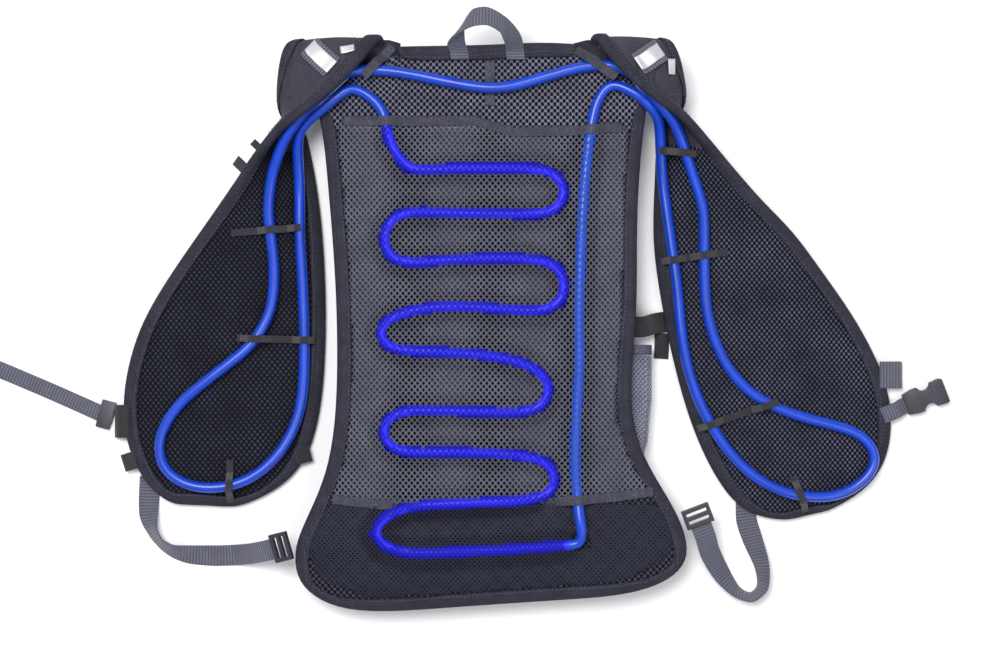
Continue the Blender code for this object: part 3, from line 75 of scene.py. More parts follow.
# Kinds of strap: the end of their pieces' names, their material, slot and real thickness
GREY_WEBBING = ("_webbing", "webbing", "webbing_grey", 1.6 * MM)
BLACK_WEBBING = ("_webbing", "black_webbing", "webbing_black", 1.6 * MM)
SHOULDER_BAND = ("_tape", "webbing", "webbing_grey", 1.6 * MM)
REFLECTIVE = ("_tape", "silver", "reflective_tape", 1 * MM)
KEEPER = ("_tape", "keeper", "keeper_tape", 1 * MM)
TOP_KEEPER = ("_tape", "tape", "keeper_tape", 1 * MM)
BACK_TAPE = ("_woven", "tape", "seam_tape", 1 * MM)
TAB = ("_tape", "keeper", "binding_tape", 1 * MM)

# Groups of straps: each solid's real width in millimetres, and its kind
STRAPS = {
    "handle": {"handle": (16.5, GREY_WEBBING)},
    "shoulders": {
        "shoulder_band_left": (22, SHOULDER_BAND), "reflective_strip_left": (13.5, REFLECTIVE),
        "reflective_end_left": (6.8, REFLECTIVE), "shoulder_band_right": (22, SHOULDER_BAND),
        "reflective_strip_right": (13.5, REFLECTIVE), "reflective_end_right": (6.8, REFLECTIVE),
    },
    "loose_straps": {
        "sternum_strap_left": (15, GREY_WEBBING), "sternum_anchor_left": (30.4, BLACK_WEBBING),
        "sternum_stub_right": (15, GREY_WEBBING), "webbing_loop_right": (24.7, GREY_WEBBING),
        "side_strap_left": (19, GREY_WEBBING), "side_strap_right": (19, GREY_WEBBING),
        "compression_strap": (19, BLACK_WEBBING), "compression_tail": (13.3, BLACK_WEBBING),
    },
    "keepers": {
        **{"keeper_" + place: (6.5, KEEPER) for place in (
            "loop_right", "upper_left", "upper_right", "middle_left", "middle_right", "lower_left",
            "lower_right")},
        "keeper_top_left": (8.5, TOP_KEEPER), "keeper_top_right": (8.5, TOP_KEEPER),
    },
    "back_tapes": {"centre_tape": (9, BACK_TAPE)},
    "tabs": {
        "edge_tag_left": (10.8, TAB), "edge_tab_left": (7.2, TAB),
        "lower_tab_left": (16.2, TAB), "panel_tab_left": (15.3, TAB),
    },
}

# Where the net tints the hose: axis, and the places where the tint starts and is full
NET_TINT = (("X", -0.14, -0.13), ("X", 0.077, 0.070), ("Y", 0.190, 0.182))

# Right of this the hose is the straight rising run, and its tint reaches a little to the left of it
RISER_START = 0.070
RISER_MARGIN = 4 * MM

# Where the nets keep the light from the back's mesh: from light to dark along Y
UNDER_NETS = (0.184, 0.178)

# Where the hose comes out of the lumbar net
HOSE_HOLE = Vector((0.085, -0.190))
HOSE_HOLE_RADIUS = 8 * MM

# Where along Y the chest panels turn into shoulder straps
SHOULDER_START = 0.165

# The shoulders' flat roots in plan, and their height and thickness
GUSSETS = {
    "left": ((-0.122, 0.236), (-0.078, 0.240), (-0.078, 0.2585), (-0.088, 0.2615), (-0.118, 0.262)),
    "right": ((0.078, 0.240), (0.124, 0.236), (0.120, 0.262), (0.090, 0.2615), (0.078, 0.2585)),
}
GUSSET_HEIGHT = 45.5 * MM
GUSSET_THICKNESS = 1.2 * MM

# Hardware: its rounding, the female buckle's side notches and that buckle's middle and direction
ROUNDING = 0.45 * MM
NOTCH_ALONG = -1 * MM
NOTCH_ACROSS = 13.4 * MM
NOTCH_RADIUS = 6.8 * MM
NOTCH_DEPTH = 30 * MM
BUCKLE_CENTRE = Vector((0.4049, -0.0611, 0.005))
BUCKLE_ALONG = Vector((0.933, 0.360, 0.0))

# How the nets lie: as a tent over the back and the hose, and how far they run under the bindings
TENT_CELL = 1.5 * MM
TENT_SLOPE = 0.8
TENT_REACH = 10
TENT_EASING = 2
LAST_CELL = 1.001
NET_MARGIN = 5 * MM
NET_CLEARANCE = 0.35 * MM

# The pocket's net: how far round its axis it reaches, its thickness, and more than the pocket's radius
POCKET_TURN = math.radians(84)
POCKET_NET_DEPTH = 0.4 * MM
POCKET_OUTSIDE = 0.2

# Stitches: how far in from the rim their line runs, its largest share of the way to the next
# vertex, their height above the panel, and how much a face that shows them looks upward
SEAM_INSET = 10 * MM
SEAM_SHARE = 0.83
STITCH_LIFT = 1.9 * MM
UPWARD = 0.15

# The tapes across the back
TAPE_CLEARANCE = 1.15 * MM
TAPE_DEPTH = 0.8 * MM
CROSS_TAPE_WIDTH = 8.5 * MM
TAPE_STEP = 2 * MM

# Where in x the hose lies on a tape, and the length in which the tape goes down under it
HOSE_ON_TAPE = {"lower_tape": (-0.086, 0.068)}
TAPE_DIP = 6 * MM

# Middle lines of the tapes across the back in plan, from left to right
TAPE_LINES = {
    "upper_tape": ((-0.133, 0.1885), (-0.071, 0.1875), (-0.012, 0.189), (0.024, 0.178), (0.081, 0.1795),
                   (0.128, 0.183)),
    "lower_tape": ((-0.135, -0.153), (-0.100, -0.157), (-0.080, -0.1565), (0.000, -0.1545), (0.068, -0.154),
                   (0.111, -0.151), (0.147, -0.146)),
}

# Section of a woven strap: across as a share of half the width, up as a share of half the thickness
STRAP_SECTION = (
    (-1.0, 0.0), (-0.97, 0.75), (-0.90, 1.0), (-0.45, 0.92), (0.0, 0.90), (0.45, 0.92),
    (0.90, 1.0), (0.97, 0.75), (1.0, 0.0), (0.97, -0.75), (0.90, -1.0), (0.45, -0.92),
    (0.0, -0.90), (-0.45, -0.92), (-0.90, -1.0), (-0.97, -0.75),
)

# The stage: lights with place, size and power, and the camera over the vest
LIGHTS = {
    "key_light": ((-0.5, 0.7, 2.6), 1.2, 62.0),
    "fill_light": ((1.2, -0.8, 2.2), 1.8, 16.0),
}
SKY = (0.95, 0.97, 1.0, 1.0)
SKY_STRENGTH = 0.5
FLOOR_HALF = 6.0
CAMERA_PLACE = (11.7 * MM, 6.3 * MM, 2.2)
LENS = 86.0
SENSOR = 36.0


def linear(code):
    """The linear light colour of an sRGB hex code."""
    shares = [int(code[i:i + 2], 16) / 255 for i in (1, 3, 5)]
    return tuple(s / 12.92 if s <= 0.04045 else ((s + 0.055) / 1.055) ** 2.4 for s in shares)


def length(name, description, millimetres):
    """A length that a user can change, given in millimetres."""
    return bpy.props.FloatProperty(name=name, description=description, default=millimetres * MM,
                                   min=0.0, subtype="DISTANCE", unit="LENGTH", precision=4)


def tint(name, description, code):
    """A colour that a user can change, given as an sRGB hex code."""
    return bpy.props.FloatVectorProperty(name=name, description=description, subtype="COLOR",
                                         size=3, min=0.0, max=1.0, default=linear(code))


class VestSizes(bpy.types.PropertyGroup):
    """Sizes of the vest's fine detail."""

    back_hole_pitch: length("Back hole pitch", "Between holes in a row of the back's spacer mesh", 5.6)
    back_hole_rows: length("Back hole rows", "Between rows of holes of the back's spacer mesh", 3.0)
    chest_hole_pitch: length("Chest hole pitch", "Between holes in a row of the chest's mesh", 5.0)
    chest_hole_rows: length("Chest hole rows", "Between rows of holes of the chest's mesh", 3.0)
    net_pitch: length("Net pitch", "Width of one diamond of the cover net", 5.2)
    net_rows: length("Net rows", "Height of one diamond of the cover net", 6.0)
    net_strand: length("Net strand", "Half the width of a strand of the cover net", 0.62)
    lumbar_pitch: length("Lumbar pitch", "Width of one diamond of the lumbar net", 4.3)
    lumbar_rows: length("Lumbar rows", "Height of one diamond of the lumbar net", 4.6)
    lumbar_strand: length("Lumbar strand", "Half the width of a strand of the lumbar net", 0.85)
    pocket_pitch: length("Pocket pitch", "Width of one diamond of the pocket's net", 4.6)
    pocket_rows: length("Pocket rows", "Height of one diamond of the pocket's net", 4.0)
    pocket_strand: length("Pocket strand", "Half the width of a strand of the pocket's net", 0.5)
    net_depth: length("Net depth", "Thickness of both nets", 0.5)
    hose_fill: length("Hose fill", "What smoothing takes off the hose and is given back", 0.48)
    binding_fill: length("Binding fill", "How far the binding stands off the solid", 0.45)
    stitch_pitch: length("Stitch pitch", "From one stitch to the next", 3.6)
    stitch_length: length("Stitch length", "Length of one stitch", 2.5)
    thread: length("Thread", "Thickness of the sewing thread", 0.55)


class VestColours(bpy.types.PropertyGroup):
    """Colours of the vest's materials."""

    back_yarn: tint("Back yarn", "Knitted yarn of the back's spacer mesh", "#76768C")
    # Both chest panels are one cloth: the left yarn is painted darker as painted shade, the right yarn
    # lighter as painted light
    chest_yarn_left_painted_shade: tint("Chest yarn left", "Knitted yarn of the left chest panel", "#3C3E52")
    chest_yarn_right_painted_light: tint("Chest yarn right", "Knitted yarn of the right chest panel", "#62647D")
    # The holes' near-black is painted shade in their depth
    hole: tint("Hole", "Depth of the holes in the spacer mesh", "#08080D")
    net: tint("Net", "Knitted yarn of the cover net", "#5B5C6A")
    lumbar: tint("Lumbar net", "Knitted yarn of the lumbar net", "#242534")
    net_over_hose: tint("Net over hose", "The cover net where the hose shines through", "#0B0AA0")
    net_over_riser: tint("Net over riser", "The cover net over the straight hose", "#2A4DA4")
    hose_under_net: tint("Hose under net", "The hose where the net tints it violet", "#120FDA")
    shoulder: tint("Shoulder", "Smooth woven cloth of the folded shoulders", "#3B3945")
    hem: tint("Hem", "Coated tape of the pocket's hem", "#66687C")
    hose: tint("Hose", "The soft blue hose", "#0A3EBA")
    binding: tint("Binding", "Folded binding tape", "#373746")
    tape: tint("Tape", "Thin tapes on the back", "#545463")
    keeper: tint("Keeper", "Narrow tapes that hold the hose", "#2C2B34")
    webbing: tint("Webbing", "Grey webbing", "#68687C")
    black_webbing: tint("Black webbing", "Black webbing", "#1A1A20")
    fabric: tint("Pack fabric", "Coated fabric of the pack", "#3B3A47")
    silver: tint("Silver", "Reflective tape", "#C9C8CB")
    plastic: tint("Plastic", "Moulded hardware", "#2E2E38")
    thread: tint("Thread", "Sewing thread", "#5F5E6B")
    floor: tint("Floor", "The surface that the vest lies on", "#FBFBFC")


# Materials

def node(tree, kind, inputs=None, **settings):
    """Adds a shader node with its settings, and its inputs as values or links."""
    made = tree.nodes.new("ShaderNode" + kind)
    for key, value in settings.items():
        setattr(made, key, value)
    for socket, value in (inputs or {}).items():
        if isinstance(value, bpy.types.NodeSocket):
            tree.links.new(value, made.inputs[socket])
        else:
            made.inputs[socket].default_value = value
    return made


def new_material(name, roughness, coordinates="Object", **sockets):
    """A material, its tree, its shader with what is the same all over, and its coordinates."""
    made = bpy.data.materials.new(name)
    made.use_nodes = True
    tree = made.node_tree
    shader = tree.nodes["Principled BSDF"]
    shader.inputs["Roughness"].default_value = roughness
    for socket, value in sockets.items():
        shader.inputs[socket.replace("_", " ")].default_value = value
    return made, tree, shader, node(tree, "TexCoord").outputs[coordinates]


def mix_colours(tree, share, first, second):
    """Two colours mixed by a share that varies over the surface."""
    made = node(tree, "Mix", {"Factor": share}, data_type="RGBA")
    for socket, colour in ((6, first), (7, second)):
        if isinstance(colour, bpy.types.NodeSocket):
            tree.links.new(colour, made.inputs[socket])
        else:
            made.inputs[socket].default_value = (*colour, 1.0)
    return made.outputs[2]


def paint(tree, shader, colour):
    tree.links.new(colour, shader.inputs["Base Color"])


def shade(colour, factor):
    return tuple(min(1.0, value * factor) for value in colour)


def combine(tree, operation, *values, kind="Math"):
    """The result of one operation on numbers or, as VectorMath, on vectors."""
    return node(tree, kind, dict(enumerate(values)), operation=operation).outputs[0]


def ramp(tree, value, low, high, kind="LINEAR"):
    """A value as a share from 0 at the low number to 1 at the high one."""
    return node(tree, "MapRange", {"Value": value, "From Min": low, "From Max": high},
                interpolation_type=kind).outputs[0]


def noise(tree, coordinates, size, detail, output="Fac", **settings):
    """Noise with patches of a size in metres."""
    return node(tree, "TexNoise", {"Vector": coordinates, "Scale": 1 / size, "Detail": detail,
                                   **settings}).outputs[output]


def patches(tree, place, millimetres):
    """Uneven patches of a size in millimetres, from 0 to 1."""
    return ramp(tree, noise(tree, place, millimetres * MM, 3.0, Roughness=0.6), 0.3, 0.7)


def wear_and_shade_patches(tree, place, millimetres, colour, dark, light):
    """A colour in uneven patches, between two shades of it: uneven tone and wear, and on the spacer mesh also
    painted light and shade.
    """
    return mix_colours(tree, patches(tree, place, millimetres), shade(colour, dark), shade(colour, light))


def lattice_distance(tree, coordinates, pitch, rows, stretch):
    """How far a point is from the nearest hole's middle, with every second row moved by half."""
    found = []
    for shift in (0.0, 0.5):
        moved = combine(tree, "MULTIPLY", coordinates, (1 / pitch, 1 / (2 * rows), 0.0), kind="VectorMath")
        moved = combine(tree, "ADD", moved, (shift, shift, 0.0), kind="VectorMath")
        cell = combine(tree, "FRACTION", moved, kind="VectorMath")
        centred = combine(tree, "SUBTRACT", cell, (0.5, 0.5, 0.0), kind="VectorMath")
        real = combine(tree, "MULTIPLY", centred, (pitch, 2 * rows * stretch, 0.0), kind="VectorMath")
        found.append(node(tree, "VectorMath", {0: real}, operation="LENGTH").outputs["Value"])
    return combine(tree, "MINIMUM", *found)


def bump(tree, shader, height, strength, distance):
    made = node(tree, "Bump", {"Height": height, "Strength": strength, "Distance": distance})
    tree.links.new(made.outputs["Normal"], shader.inputs["Normal"])


def knitted_spacer_mesh(name, yarn, hole, pitch, rows, hole_share, net_shadow_band=None):
    """Polyester spacer mesh, warp-knitted: matt yarn round rows of oval holes, painted near-black as painted
    shade in their depth.
    """
    made, tree, shader, place = new_material(name, 0.78, "UV", Specular_IOR_Level=0.15)
    wobble = noise(tree, place, 9 * MM, 1.0, "Color")
    drift = combine(tree, "MULTIPLY", wobble, (0.9 * MM, 0.9 * MM, 0.0), kind="VectorMath")
    drawn = combine(tree, "ADD", place, drift, kind="VectorMath")
    distance = lattice_distance(tree, drawn, pitch, rows, 0.8)
    radius = pitch * hole_share
    open_share = ramp(tree, distance, radius * 0.72, radius * 1.25, "SMOOTHSTEP")
    # Broad patches from 0.4 to 1.7 of the yarn's colour: partly uneven tone, partly painted light and shade
    # where the panels fold
    yarn_tone_and_shading = wear_and_shade_patches(tree, place, 45, yarn, 0.4, 1.7)
    flecked = mix_colours(tree, patches(tree, place, 1.2), shade(yarn, 0.7), yarn_tone_and_shading)
    # Below the nets the yarn is painted down to 0.3 of its colour: painted shadow of the nets
    if net_shadow_band:
        height = node(tree, "SeparateXYZ", {0: node(tree, "TexCoord").outputs["Object"]}).outputs["Y"]
        flecked = mix_colours(tree, ramp(tree, height, *net_shadow_band), flecked, shade(yarn, 0.3))
    # The holes take the hole colour: painted shade inside them
    paint(tree, shader, mix_colours(tree, open_share, hole, flecked))
    bump(tree, shader, open_share, 0.9, 1.1 * MM)
    return made


def warp_knit_net(name, colours, key):
    """Fine polyester net, warp-knitted and heat-set: satin strands, blue where the hose lies below."""
    made, tree, shader, place = new_material(name, 0.66, Specular_IOR_Level=0.2)
    strands = wear_and_shade_patches(tree, place, 30, getattr(colours, key), 0.75, 1.12)
    near = node(tree, "Attribute", attribute_name="over_hose").outputs["Fac"]
    risen = node(tree, "Attribute", attribute_name="over_riser").outputs["Fac"]
    over_riser = mix_colours(tree, risen, strands, colours.net_over_riser)
    paint(tree, shader, mix_colours(tree, near, over_riser, colours.net_over_hose))
    bump(tree, shader, noise(tree, place, 0.8 * MM, 2.0), 0.5, 0.2 * MM)
    return made


def plain_woven_tape(name, colour):
    """Polyester binding tape, plain-woven: dull, with a fine even grain and rubbed lighter patches."""
    made, tree, shader, place = new_material(name, 0.82, Specular_IOR_Level=0.3)
    # threads lie 0.5 mm apart and are drawn at 1.1 mm, so that they show
    warp = node(tree, "TexVoronoi", {"Vector": place, "Scale": 1 / (1.1 * MM), "Randomness": 0.55})
    grain = ramp(tree, warp.outputs["Distance"], 0.0, 0.7)
    ground = wear_and_shade_patches(tree, place, 16, colour, 0.6, 1.6)
    paint(tree, shader, mix_colours(tree, grain, ground, shade(colour, 0.35)))
    bump(tree, shader, grain, 0.55, 0.25 * MM)
    return made


def ribbed_webbing(name, colour, rib_mm, roughness=0.6):
    """Polypropylene webbing, woven in ribs: slightly shiny cross ribs with painted shade between them, and a
    tight selvedge.
    """
    made, tree, shader, place = new_material(name, roughness, "UV", Sheen_Weight=0.2)
    parts = node(tree, "SeparateXYZ", {0: place})
    rib = combine(tree, "MULTIPLY", parts.outputs["Y"], 2 * math.pi / (rib_mm * MM))
    column = combine(tree, "MULTIPLY", parts.outputs["X"], 2 * math.pi / (2.2 * MM))
    phase = combine(tree, "ADD", rib, combine(tree, "SINE", column))
    height = ramp(tree, combine(tree, "SINE", phase), -1.0, 1.0)
    ground = wear_and_shade_patches(tree, place, 14, colour, 0.8, 1.15)
    # The valleys between the ribs are painted at 0.3 of the colour: painted shade
    paint(tree, shader, mix_colours(tree, height, shade(colour, 0.3), ground))
    bump(tree, shader, height, 0.9, 0.5 * MM)
    return made


def coated_pack_fabric(name, colour, crease, depth):
    """Coated polyester, plain-woven: a tight grain with broad soft creases where the bag gives."""
    made, tree, shader, place = new_material(name, 0.7, Specular_IOR_Level=0.3)
    weave = node(tree, "TexVoronoi", {"Vector": place, "Scale": 1 / (1.3 * MM), "Randomness": 0.25})
    creases = noise(tree, place, crease, 2.5, Distortion=1.8)
    paint(tree, shader, wear_and_shade_patches(tree, place, 24, colour, 0.85, 1.12))
    fine = combine(tree, "MULTIPLY", weave.outputs["Distance"], 0.12)
    bump(tree, shader, combine(tree, "ADD", fine, creases), 0.8, depth)
    return made


def extruded_soft_hose(name, colour, tinted):
    """Plasticised polyurethane hose, extruded: a wet gloss over an even, milky blue, duller under its net."""
    made, tree, shader, place = new_material(name, 0.34, IOR=1.48, Coat_Weight=0.15, Coat_Roughness=0.25)
    plain = wear_and_shade_patches(tree, place, 35, colour, 0.8, 1.15)
    parts = node(tree, "SeparateXYZ", {0: place})
    share = None
    for axis, start, end in NET_TINT:
        edge = ramp(tree, parts.outputs[axis], start, end, "SMOOTHSTEP")
        share = edge if share is None else combine(tree, "MULTIPLY", share, edge)
    paint(tree, shader, mix_colours(tree, share, plain, tinted))
    dullness = node(tree, "MapRange", {"Value": share, "To Min": 0.32, "To Max": 0.75})
    tree.links.new(dullness.outputs[0], shader.inputs["Roughness"])
    bump(tree, shader, noise(tree, place, 3 * MM, 2.0), 0.06, 0.2 * MM)
    return made


def glass_bead_tape(name, colour):
    """Reflective tape, glass beads on a silver film: pale and even, with a faint diamond grid."""
    made, tree, shader, place = new_material(name, 0.42, "UV", Metallic=0.35)
    grid = lattice_distance(tree, place, 2.4 * MM, 1.4 * MM, 0.8)
    lines = ramp(tree, grid, 0.6 * MM, 1.3 * MM)
    paint(tree, shader, mix_colours(tree, lines, colour, shade(colour, 0.9)))
    bump(tree, shader, lines, 0.15, 0.1 * MM)
    return made


def moulded_acetal(name, colour):
    """Acetal, injection-moulded with a spark-eroded surface: satin, with softly lit edges."""
    made, tree, shader, place = new_material(name, 0.45, IOR=1.48)
    paint(tree, shader, wear_and_shade_patches(tree, place, 12, colour, 0.85, 1.1))
    bump(tree, shader, noise(tree, place, 0.7 * MM, 2.0), 0.2, 0.1 * MM)
    return made


def spun_thread(name, colour):
    """Polyester sewing thread, spun and waxed: a little lighter than what it holds."""
    made, tree, shader, place = new_material(name, 0.55)
    paint(tree, shader, wear_and_shade_patches(tree, place, 6, colour, 0.75, 1.0))
    return made


def painted_board(name, colour):
    """A matt painted board, rolled: pale and even."""
    made, tree, shader, place = new_material(name, 0.9)
    paint(tree, shader, wear_and_shade_patches(tree, place, 400, colour, 0.99, 1.0))
    return made


def make_materials(sizes, colours):
    chest = (colours.hole, sizes.chest_hole_pitch, sizes.chest_hole_rows, 0.33)
    return {
        "back_mesh": knitted_spacer_mesh("knitted_spacer_mesh_back", colours.back_yarn, colours.hole,
                                         sizes.back_hole_pitch, sizes.back_hole_rows, 0.27, UNDER_NETS),
        # The chest panels get shaded and lit copies of one yarn: painted shade on the left, painted light on
        # the right
        "chest_mesh_left": knitted_spacer_mesh("knitted_spacer_mesh_left", colours.chest_yarn_left_painted_shade, *chest),
        "chest_mesh_right": knitted_spacer_mesh("knitted_spacer_mesh_right", colours.chest_yarn_right_painted_light,
                                                *chest),
        "pocket_net": warp_knit_net("warp_knit_net_pocket", colours, "back_yarn"),
        "cover_net": warp_knit_net("warp_knit_net_cover", colours, "net"),
        "lumbar_net": warp_knit_net("warp_knit_net_lumbar", colours, "lumbar"),
        "binding": plain_woven_tape("plain_woven_binding", colours.binding),
        "hem": plain_woven_tape("coated_hem_tape", colours.hem),
        "tape": plain_woven_tape("plain_woven_seam_tape", colours.tape),
        "keeper": ribbed_webbing("grosgrain_keeper_tape", colours.keeper, 1.1, 0.7),
        "webbing": ribbed_webbing("ribbed_webbing_grey", colours.webbing, 2.8),
        "black_webbing": ribbed_webbing("ribbed_webbing_black", colours.black_webbing, 2.8),
        "fabric": coated_pack_fabric("coated_pack_fabric", colours.fabric, 38 * MM, 4 * MM),
        "shoulder": coated_pack_fabric("woven_shoulder_cloth", colours.shoulder, 30 * MM, 11 * MM),
        "hose": extruded_soft_hose("extruded_soft_hose", colours.hose, colours.hose_under_net),
        "silver": glass_bead_tape("glass_bead_reflective_tape", colours.silver),
        "plastic": moulded_acetal("moulded_acetal", colours.plastic),
        "thread": spun_thread("spun_polyester_thread", colours.thread),
        "floor": painted_board("painted_board", colours.floor),
    }


MATERIALS = {}


# Meshes

def merged_copy(name, pair=True):
    """A solid's mesh with its loose triangles merged, and paired into quads if asked."""
    bm = bmesh.new()
    bm.from_mesh(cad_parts[name].data)
    bmesh.ops.remove_doubles(bm, verts=bm.verts, dist=MERGE_DISTANCE)
    if pair:
        bmesh.ops.join_triangles(bm, faces=bm.faces, angle_face_threshold=PAIR_ANGLE,
                                 angle_shape_threshold=PAIR_SHAPE_ANGLE)
    return bm


def add_piece(name, bm, material, slot, nodes, levels=0, puff=0.0):
    """Turns a bmesh into a finished piece that stands for solids and rides on the one body."""
    mesh = bpy.data.meshes.new(name)
    bm.to_mesh(mesh)
    bm.free()
    mesh.materials.append(MATERIALS[material])
    mesh.shade_smooth()
    piece = bpy.data.objects.new(name, mesh)
    bpy.context.scene.collection.objects.link(piece)
    if levels:
        smoothing = piece.modifiers.new("Smoothing", "SUBSURF")
        smoothing.levels = smoothing.render_levels = levels
    if puff:
        filling = piece.modifiers.new("Filling", "DISPLACE")
        filling.mid_level = 0.0
        filling.strength = puff
    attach(piece, "root")
    if nodes:
        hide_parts(*nodes)
    return piece


def mark_seams(bm):
    for edge in bm.edges:
        edge.seam = edge.is_boundary or edge.calc_face_angle(0.0) > SEAM_ANGLE


def crease_borders(bm):
    """Keeps a sheet's borders sharp when it is smoothed."""
    crease = bm.edges.layers.float.new("crease_edge")
    for edge in bm.edges:
        edge[crease] = 1.0 if edge.calc_face_angle(0.0) > SEAM_ANGLE else 0.0


def dent(piece, depth, size):
    """Presses soft hollows into a padded piece, never outward."""
    cloud = bpy.data.textures.new(piece.name + "_hollows", "CLOUDS")
    cloud.noise_scale = size
    cloud.noise_depth = 1
    hollows = piece.modifiers.new("Hollows", "DISPLACE")
    hollows.texture = cloud
    hollows.texture_coords = "LOCAL"
    hollows.mid_level = 0.8
    hollows.strength = depth


def unwrap_in_metres(piece):
    """Unwraps a mesh at its seams, then turns and scales the map to lie as it does in plan."""
    bpy.ops.object.select_all(action="DESELECT")
    bpy.context.view_layer.objects.active = piece
    piece.select_set(True)
    bpy.ops.object.mode_set(mode="EDIT")
    bpy.ops.mesh.select_all(action="SELECT")
    bpy.ops.uv.unwrap(method="ANGLE_BASED", margin=0.002)
    bpy.ops.object.mode_set(mode="OBJECT")
    bm = bmesh.new()
    bm.from_mesh(piece.data)
    layer = bm.loops.layers.uv.verify()
    flat = real = turn_sine = turn_cosine = 0.0
    for face in bm.faces:
        if face.normal.z < 0.2:
            continue
        for loop in face.loops:
            after = loop.link_loop_next
            run = (after.vert.co - loop.vert.co)
            drawn = after[layer].uv - loop[layer].uv
            flat += drawn.length
            real += run.length
            turn_cosine += drawn.dot(run.xy)
            turn_sine += drawn.x * run.y - drawn.y * run.x
    scale = real / flat
    turn = Matrix.Rotation(math.atan2(turn_sine, turn_cosine), 2)
    for face in bm.faces:
        for loop in face.loops:
            loop[layer].uv = turn @ loop[layer].uv * scale
    bm.to_mesh(piece.data)
    bm.free()
    piece.select_set(False)


def map_in_plan(bm):
    """Gives a nearly flat mesh its plan in metres as its map."""
    layer = bm.loops.layers.uv.verify()
    for face in bm.faces:
        for loop in face.loops:
            loop[layer].uv = loop.vert.co.xy


def surface_tree(name):
    """A solid's surface, to drop rays on."""
    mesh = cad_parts[name].data
    return BVHTree.FromPolygons([v.co.copy() for v in mesh.vertices],
                                [list(p.vertices) for p in mesh.polygons])


def drop(tree, x, y):
    """The height of a surface's highest point at a place in plan, or nothing."""
    hit = tree.ray_cast(Vector((x, y, 1.0)), Vector((0, 0, -1)))[0]
    return None if hit is None else hit.z


# Straps, read back from their solids and swept again

def strap_rings(name, width, thickness):
    """The stations of a strap's solid in order: centre, direction across and direction up."""
    bm = merged_copy(name, pair=False)

    def over(vert):
        """The vertices that lie the strap's thickness from this one."""
        edges = [e for e in vert.link_edges if abs(e.calc_length() - thickness) < EXACT]
        return [e.other_vert(vert) for e in edges]

    rings, known = [], set()
    for edge in bm.edges:
        if abs(edge.calc_length() - width) > EXACT:
            continue
        a, b = edge.verts
        for c in over(a):
            for d in over(b):
                square = abs((a.co - b.co).dot(c.co - a.co)) < EXACT * thickness * SQUARE_SLACK
                as_wide = abs((c.co - d.co).length - width) < EXACT
                key = frozenset((a, b, c, d))
                if len(key) == 4 and square and as_wide and key not in known:
                    known.add(key)
                    rings.append((a, b, c, d))
    linked = {i: set() for i in range(len(rings))}
    vert_ring = {vert: i for i, ring in enumerate(rings) for vert in ring}
    for edge in bm.edges:
        i, j = (vert_ring.get(vert) for vert in edge.verts)
        if i is not None and j is not None and i != j:
            linked[i].add(j)
            linked[j].add(i)
    ends = [i for i in linked if len(linked[i]) == 1]
    if not ends:
        raise RuntimeError("no end found on the strap " + name)
    order, before, here = [], None, ends[0]
    while here is not None:
        order.append(here)
        onward = [i for i in linked[here] if i != before and i not in order]
        before, here = here, (onward[0] if onward else None)
    stations = []
    for i in order:
        a, b, c, d = (vert.co for vert in rings[i])
        centre = (a + b + c + d) / 4
        across, up = (b - a + d - c).normalized(), (a + b - c - d).normalized()
        if stations:
            across = -across if across.dot(stations[-1][1]) < 0 else across
            up = -up if up.dot(stations[-1][2]) < 0 else up
        stations.append((centre, across, up))
    bm.free()
    return stations


def finer(stations, step, tension):
    """Stations along a smooth curve through the given ones, about one step apart."""
    made = []
    for i in range(len(stations) - 1):
        a, b, c, d = (stations[max(0, min(len(stations) - 1, k))] for k in (i - 1, i, i + 1, i + 2))
        gap = (c[0] - b[0]).length
        out = (c[0] - a[0]).normalized() * gap * tension * 2
        back = (d[0] - b[0]).normalized() * gap * tension * 2
        pieces = max(1, round(gap / step))
        for k in range(pieces):
            t = k / pieces
            centre = ((2 * t ** 3 - 3 * t ** 2 + 1) * b[0] + (t ** 3 - 2 * t ** 2 + t) * out
                      + (3 * t ** 2 - 2 * t ** 3) * c[0] + (t ** 3 - t ** 2) * back)
            made.append((centre, b[1].lerp(c[1], t).normalized()))
    made.append(stations[-1][:2])
    return made


def grow_rings(bm, count):
    """Extrudes a strap's section ring by ring, and closes its ends after the last.

    Gives each ring's number and its vertices, each with its place in the section.
    """
    place = bm.verts.layers.int.new("section")
    ring = bmesh.ops.create_circle(bm, segments=len(STRAP_SECTION), radius=1.0)["verts"]
    for i, vert in enumerate(ring):
        vert[place] = i
    edges = bm.edges[:]
    for number in range(count):
        if number:
            grown = bmesh.ops.extrude_edge_only(bm, edges=edges)["geom"]
            ring = [g for g in grown if isinstance(g, bmesh.types.BMVert)]
            edges = [g for g in grown if isinstance(g, bmesh.types.BMEdge)]
        yield number, [(vert, *STRAP_SECTION[vert[place]]) for vert in ring]
    bmesh.ops.holes_fill(bm, edges=bm.edges, sides=0)
    bmesh.ops.recalc_face_normals(bm, faces=bm.faces)


def sweep_strap(name, node_name, width, thickness, material, slot, step, tension):
    """A woven strap along its solid's stations, with rounded selvedges and its map in metres."""
    stations = finer(strap_rings(node_name, width, thickness), step, tension)
    bm = bmesh.new()
    along_layer, across_layer = (bm.verts.layers.float.new(key) for key in ("along", "across"))
    length = 0.0
    for i, ring in grow_rings(bm, len(stations)):
        centre, across = stations[i]
        before, after = stations[max(i - 1, 0)][0], stations[min(i + 1, len(stations) - 1)][0]
        length += (centre - before).length
        up = across.cross(after - before).normalized()
        for vert, share, rise in ring:
            vert.co = centre + across * share * width / 2 + up * rise * thickness / 2
            vert[along_layer] = length
            vert[across_layer] = share * width / 2
    layer = bm.loops.layers.uv.verify()
    for face in bm.faces:
        for loop in face.loops:
            loop[layer].uv = (loop.vert[across_layer], loop.vert[along_layer])
    return add_piece(name, bm, material, slot, (node_name,))


def weave_straps(group, step=2.2 * MM, tension=0.4):
    """Weaves the straps of a group, each along its solid."""
    for name, (width, (ending, material, slot, thickness)) in STRAPS[group].items():
        sweep_strap(name + ending, name, width * MM, thickness, material, slot, step, tension)


# Nets, and the tapes on them

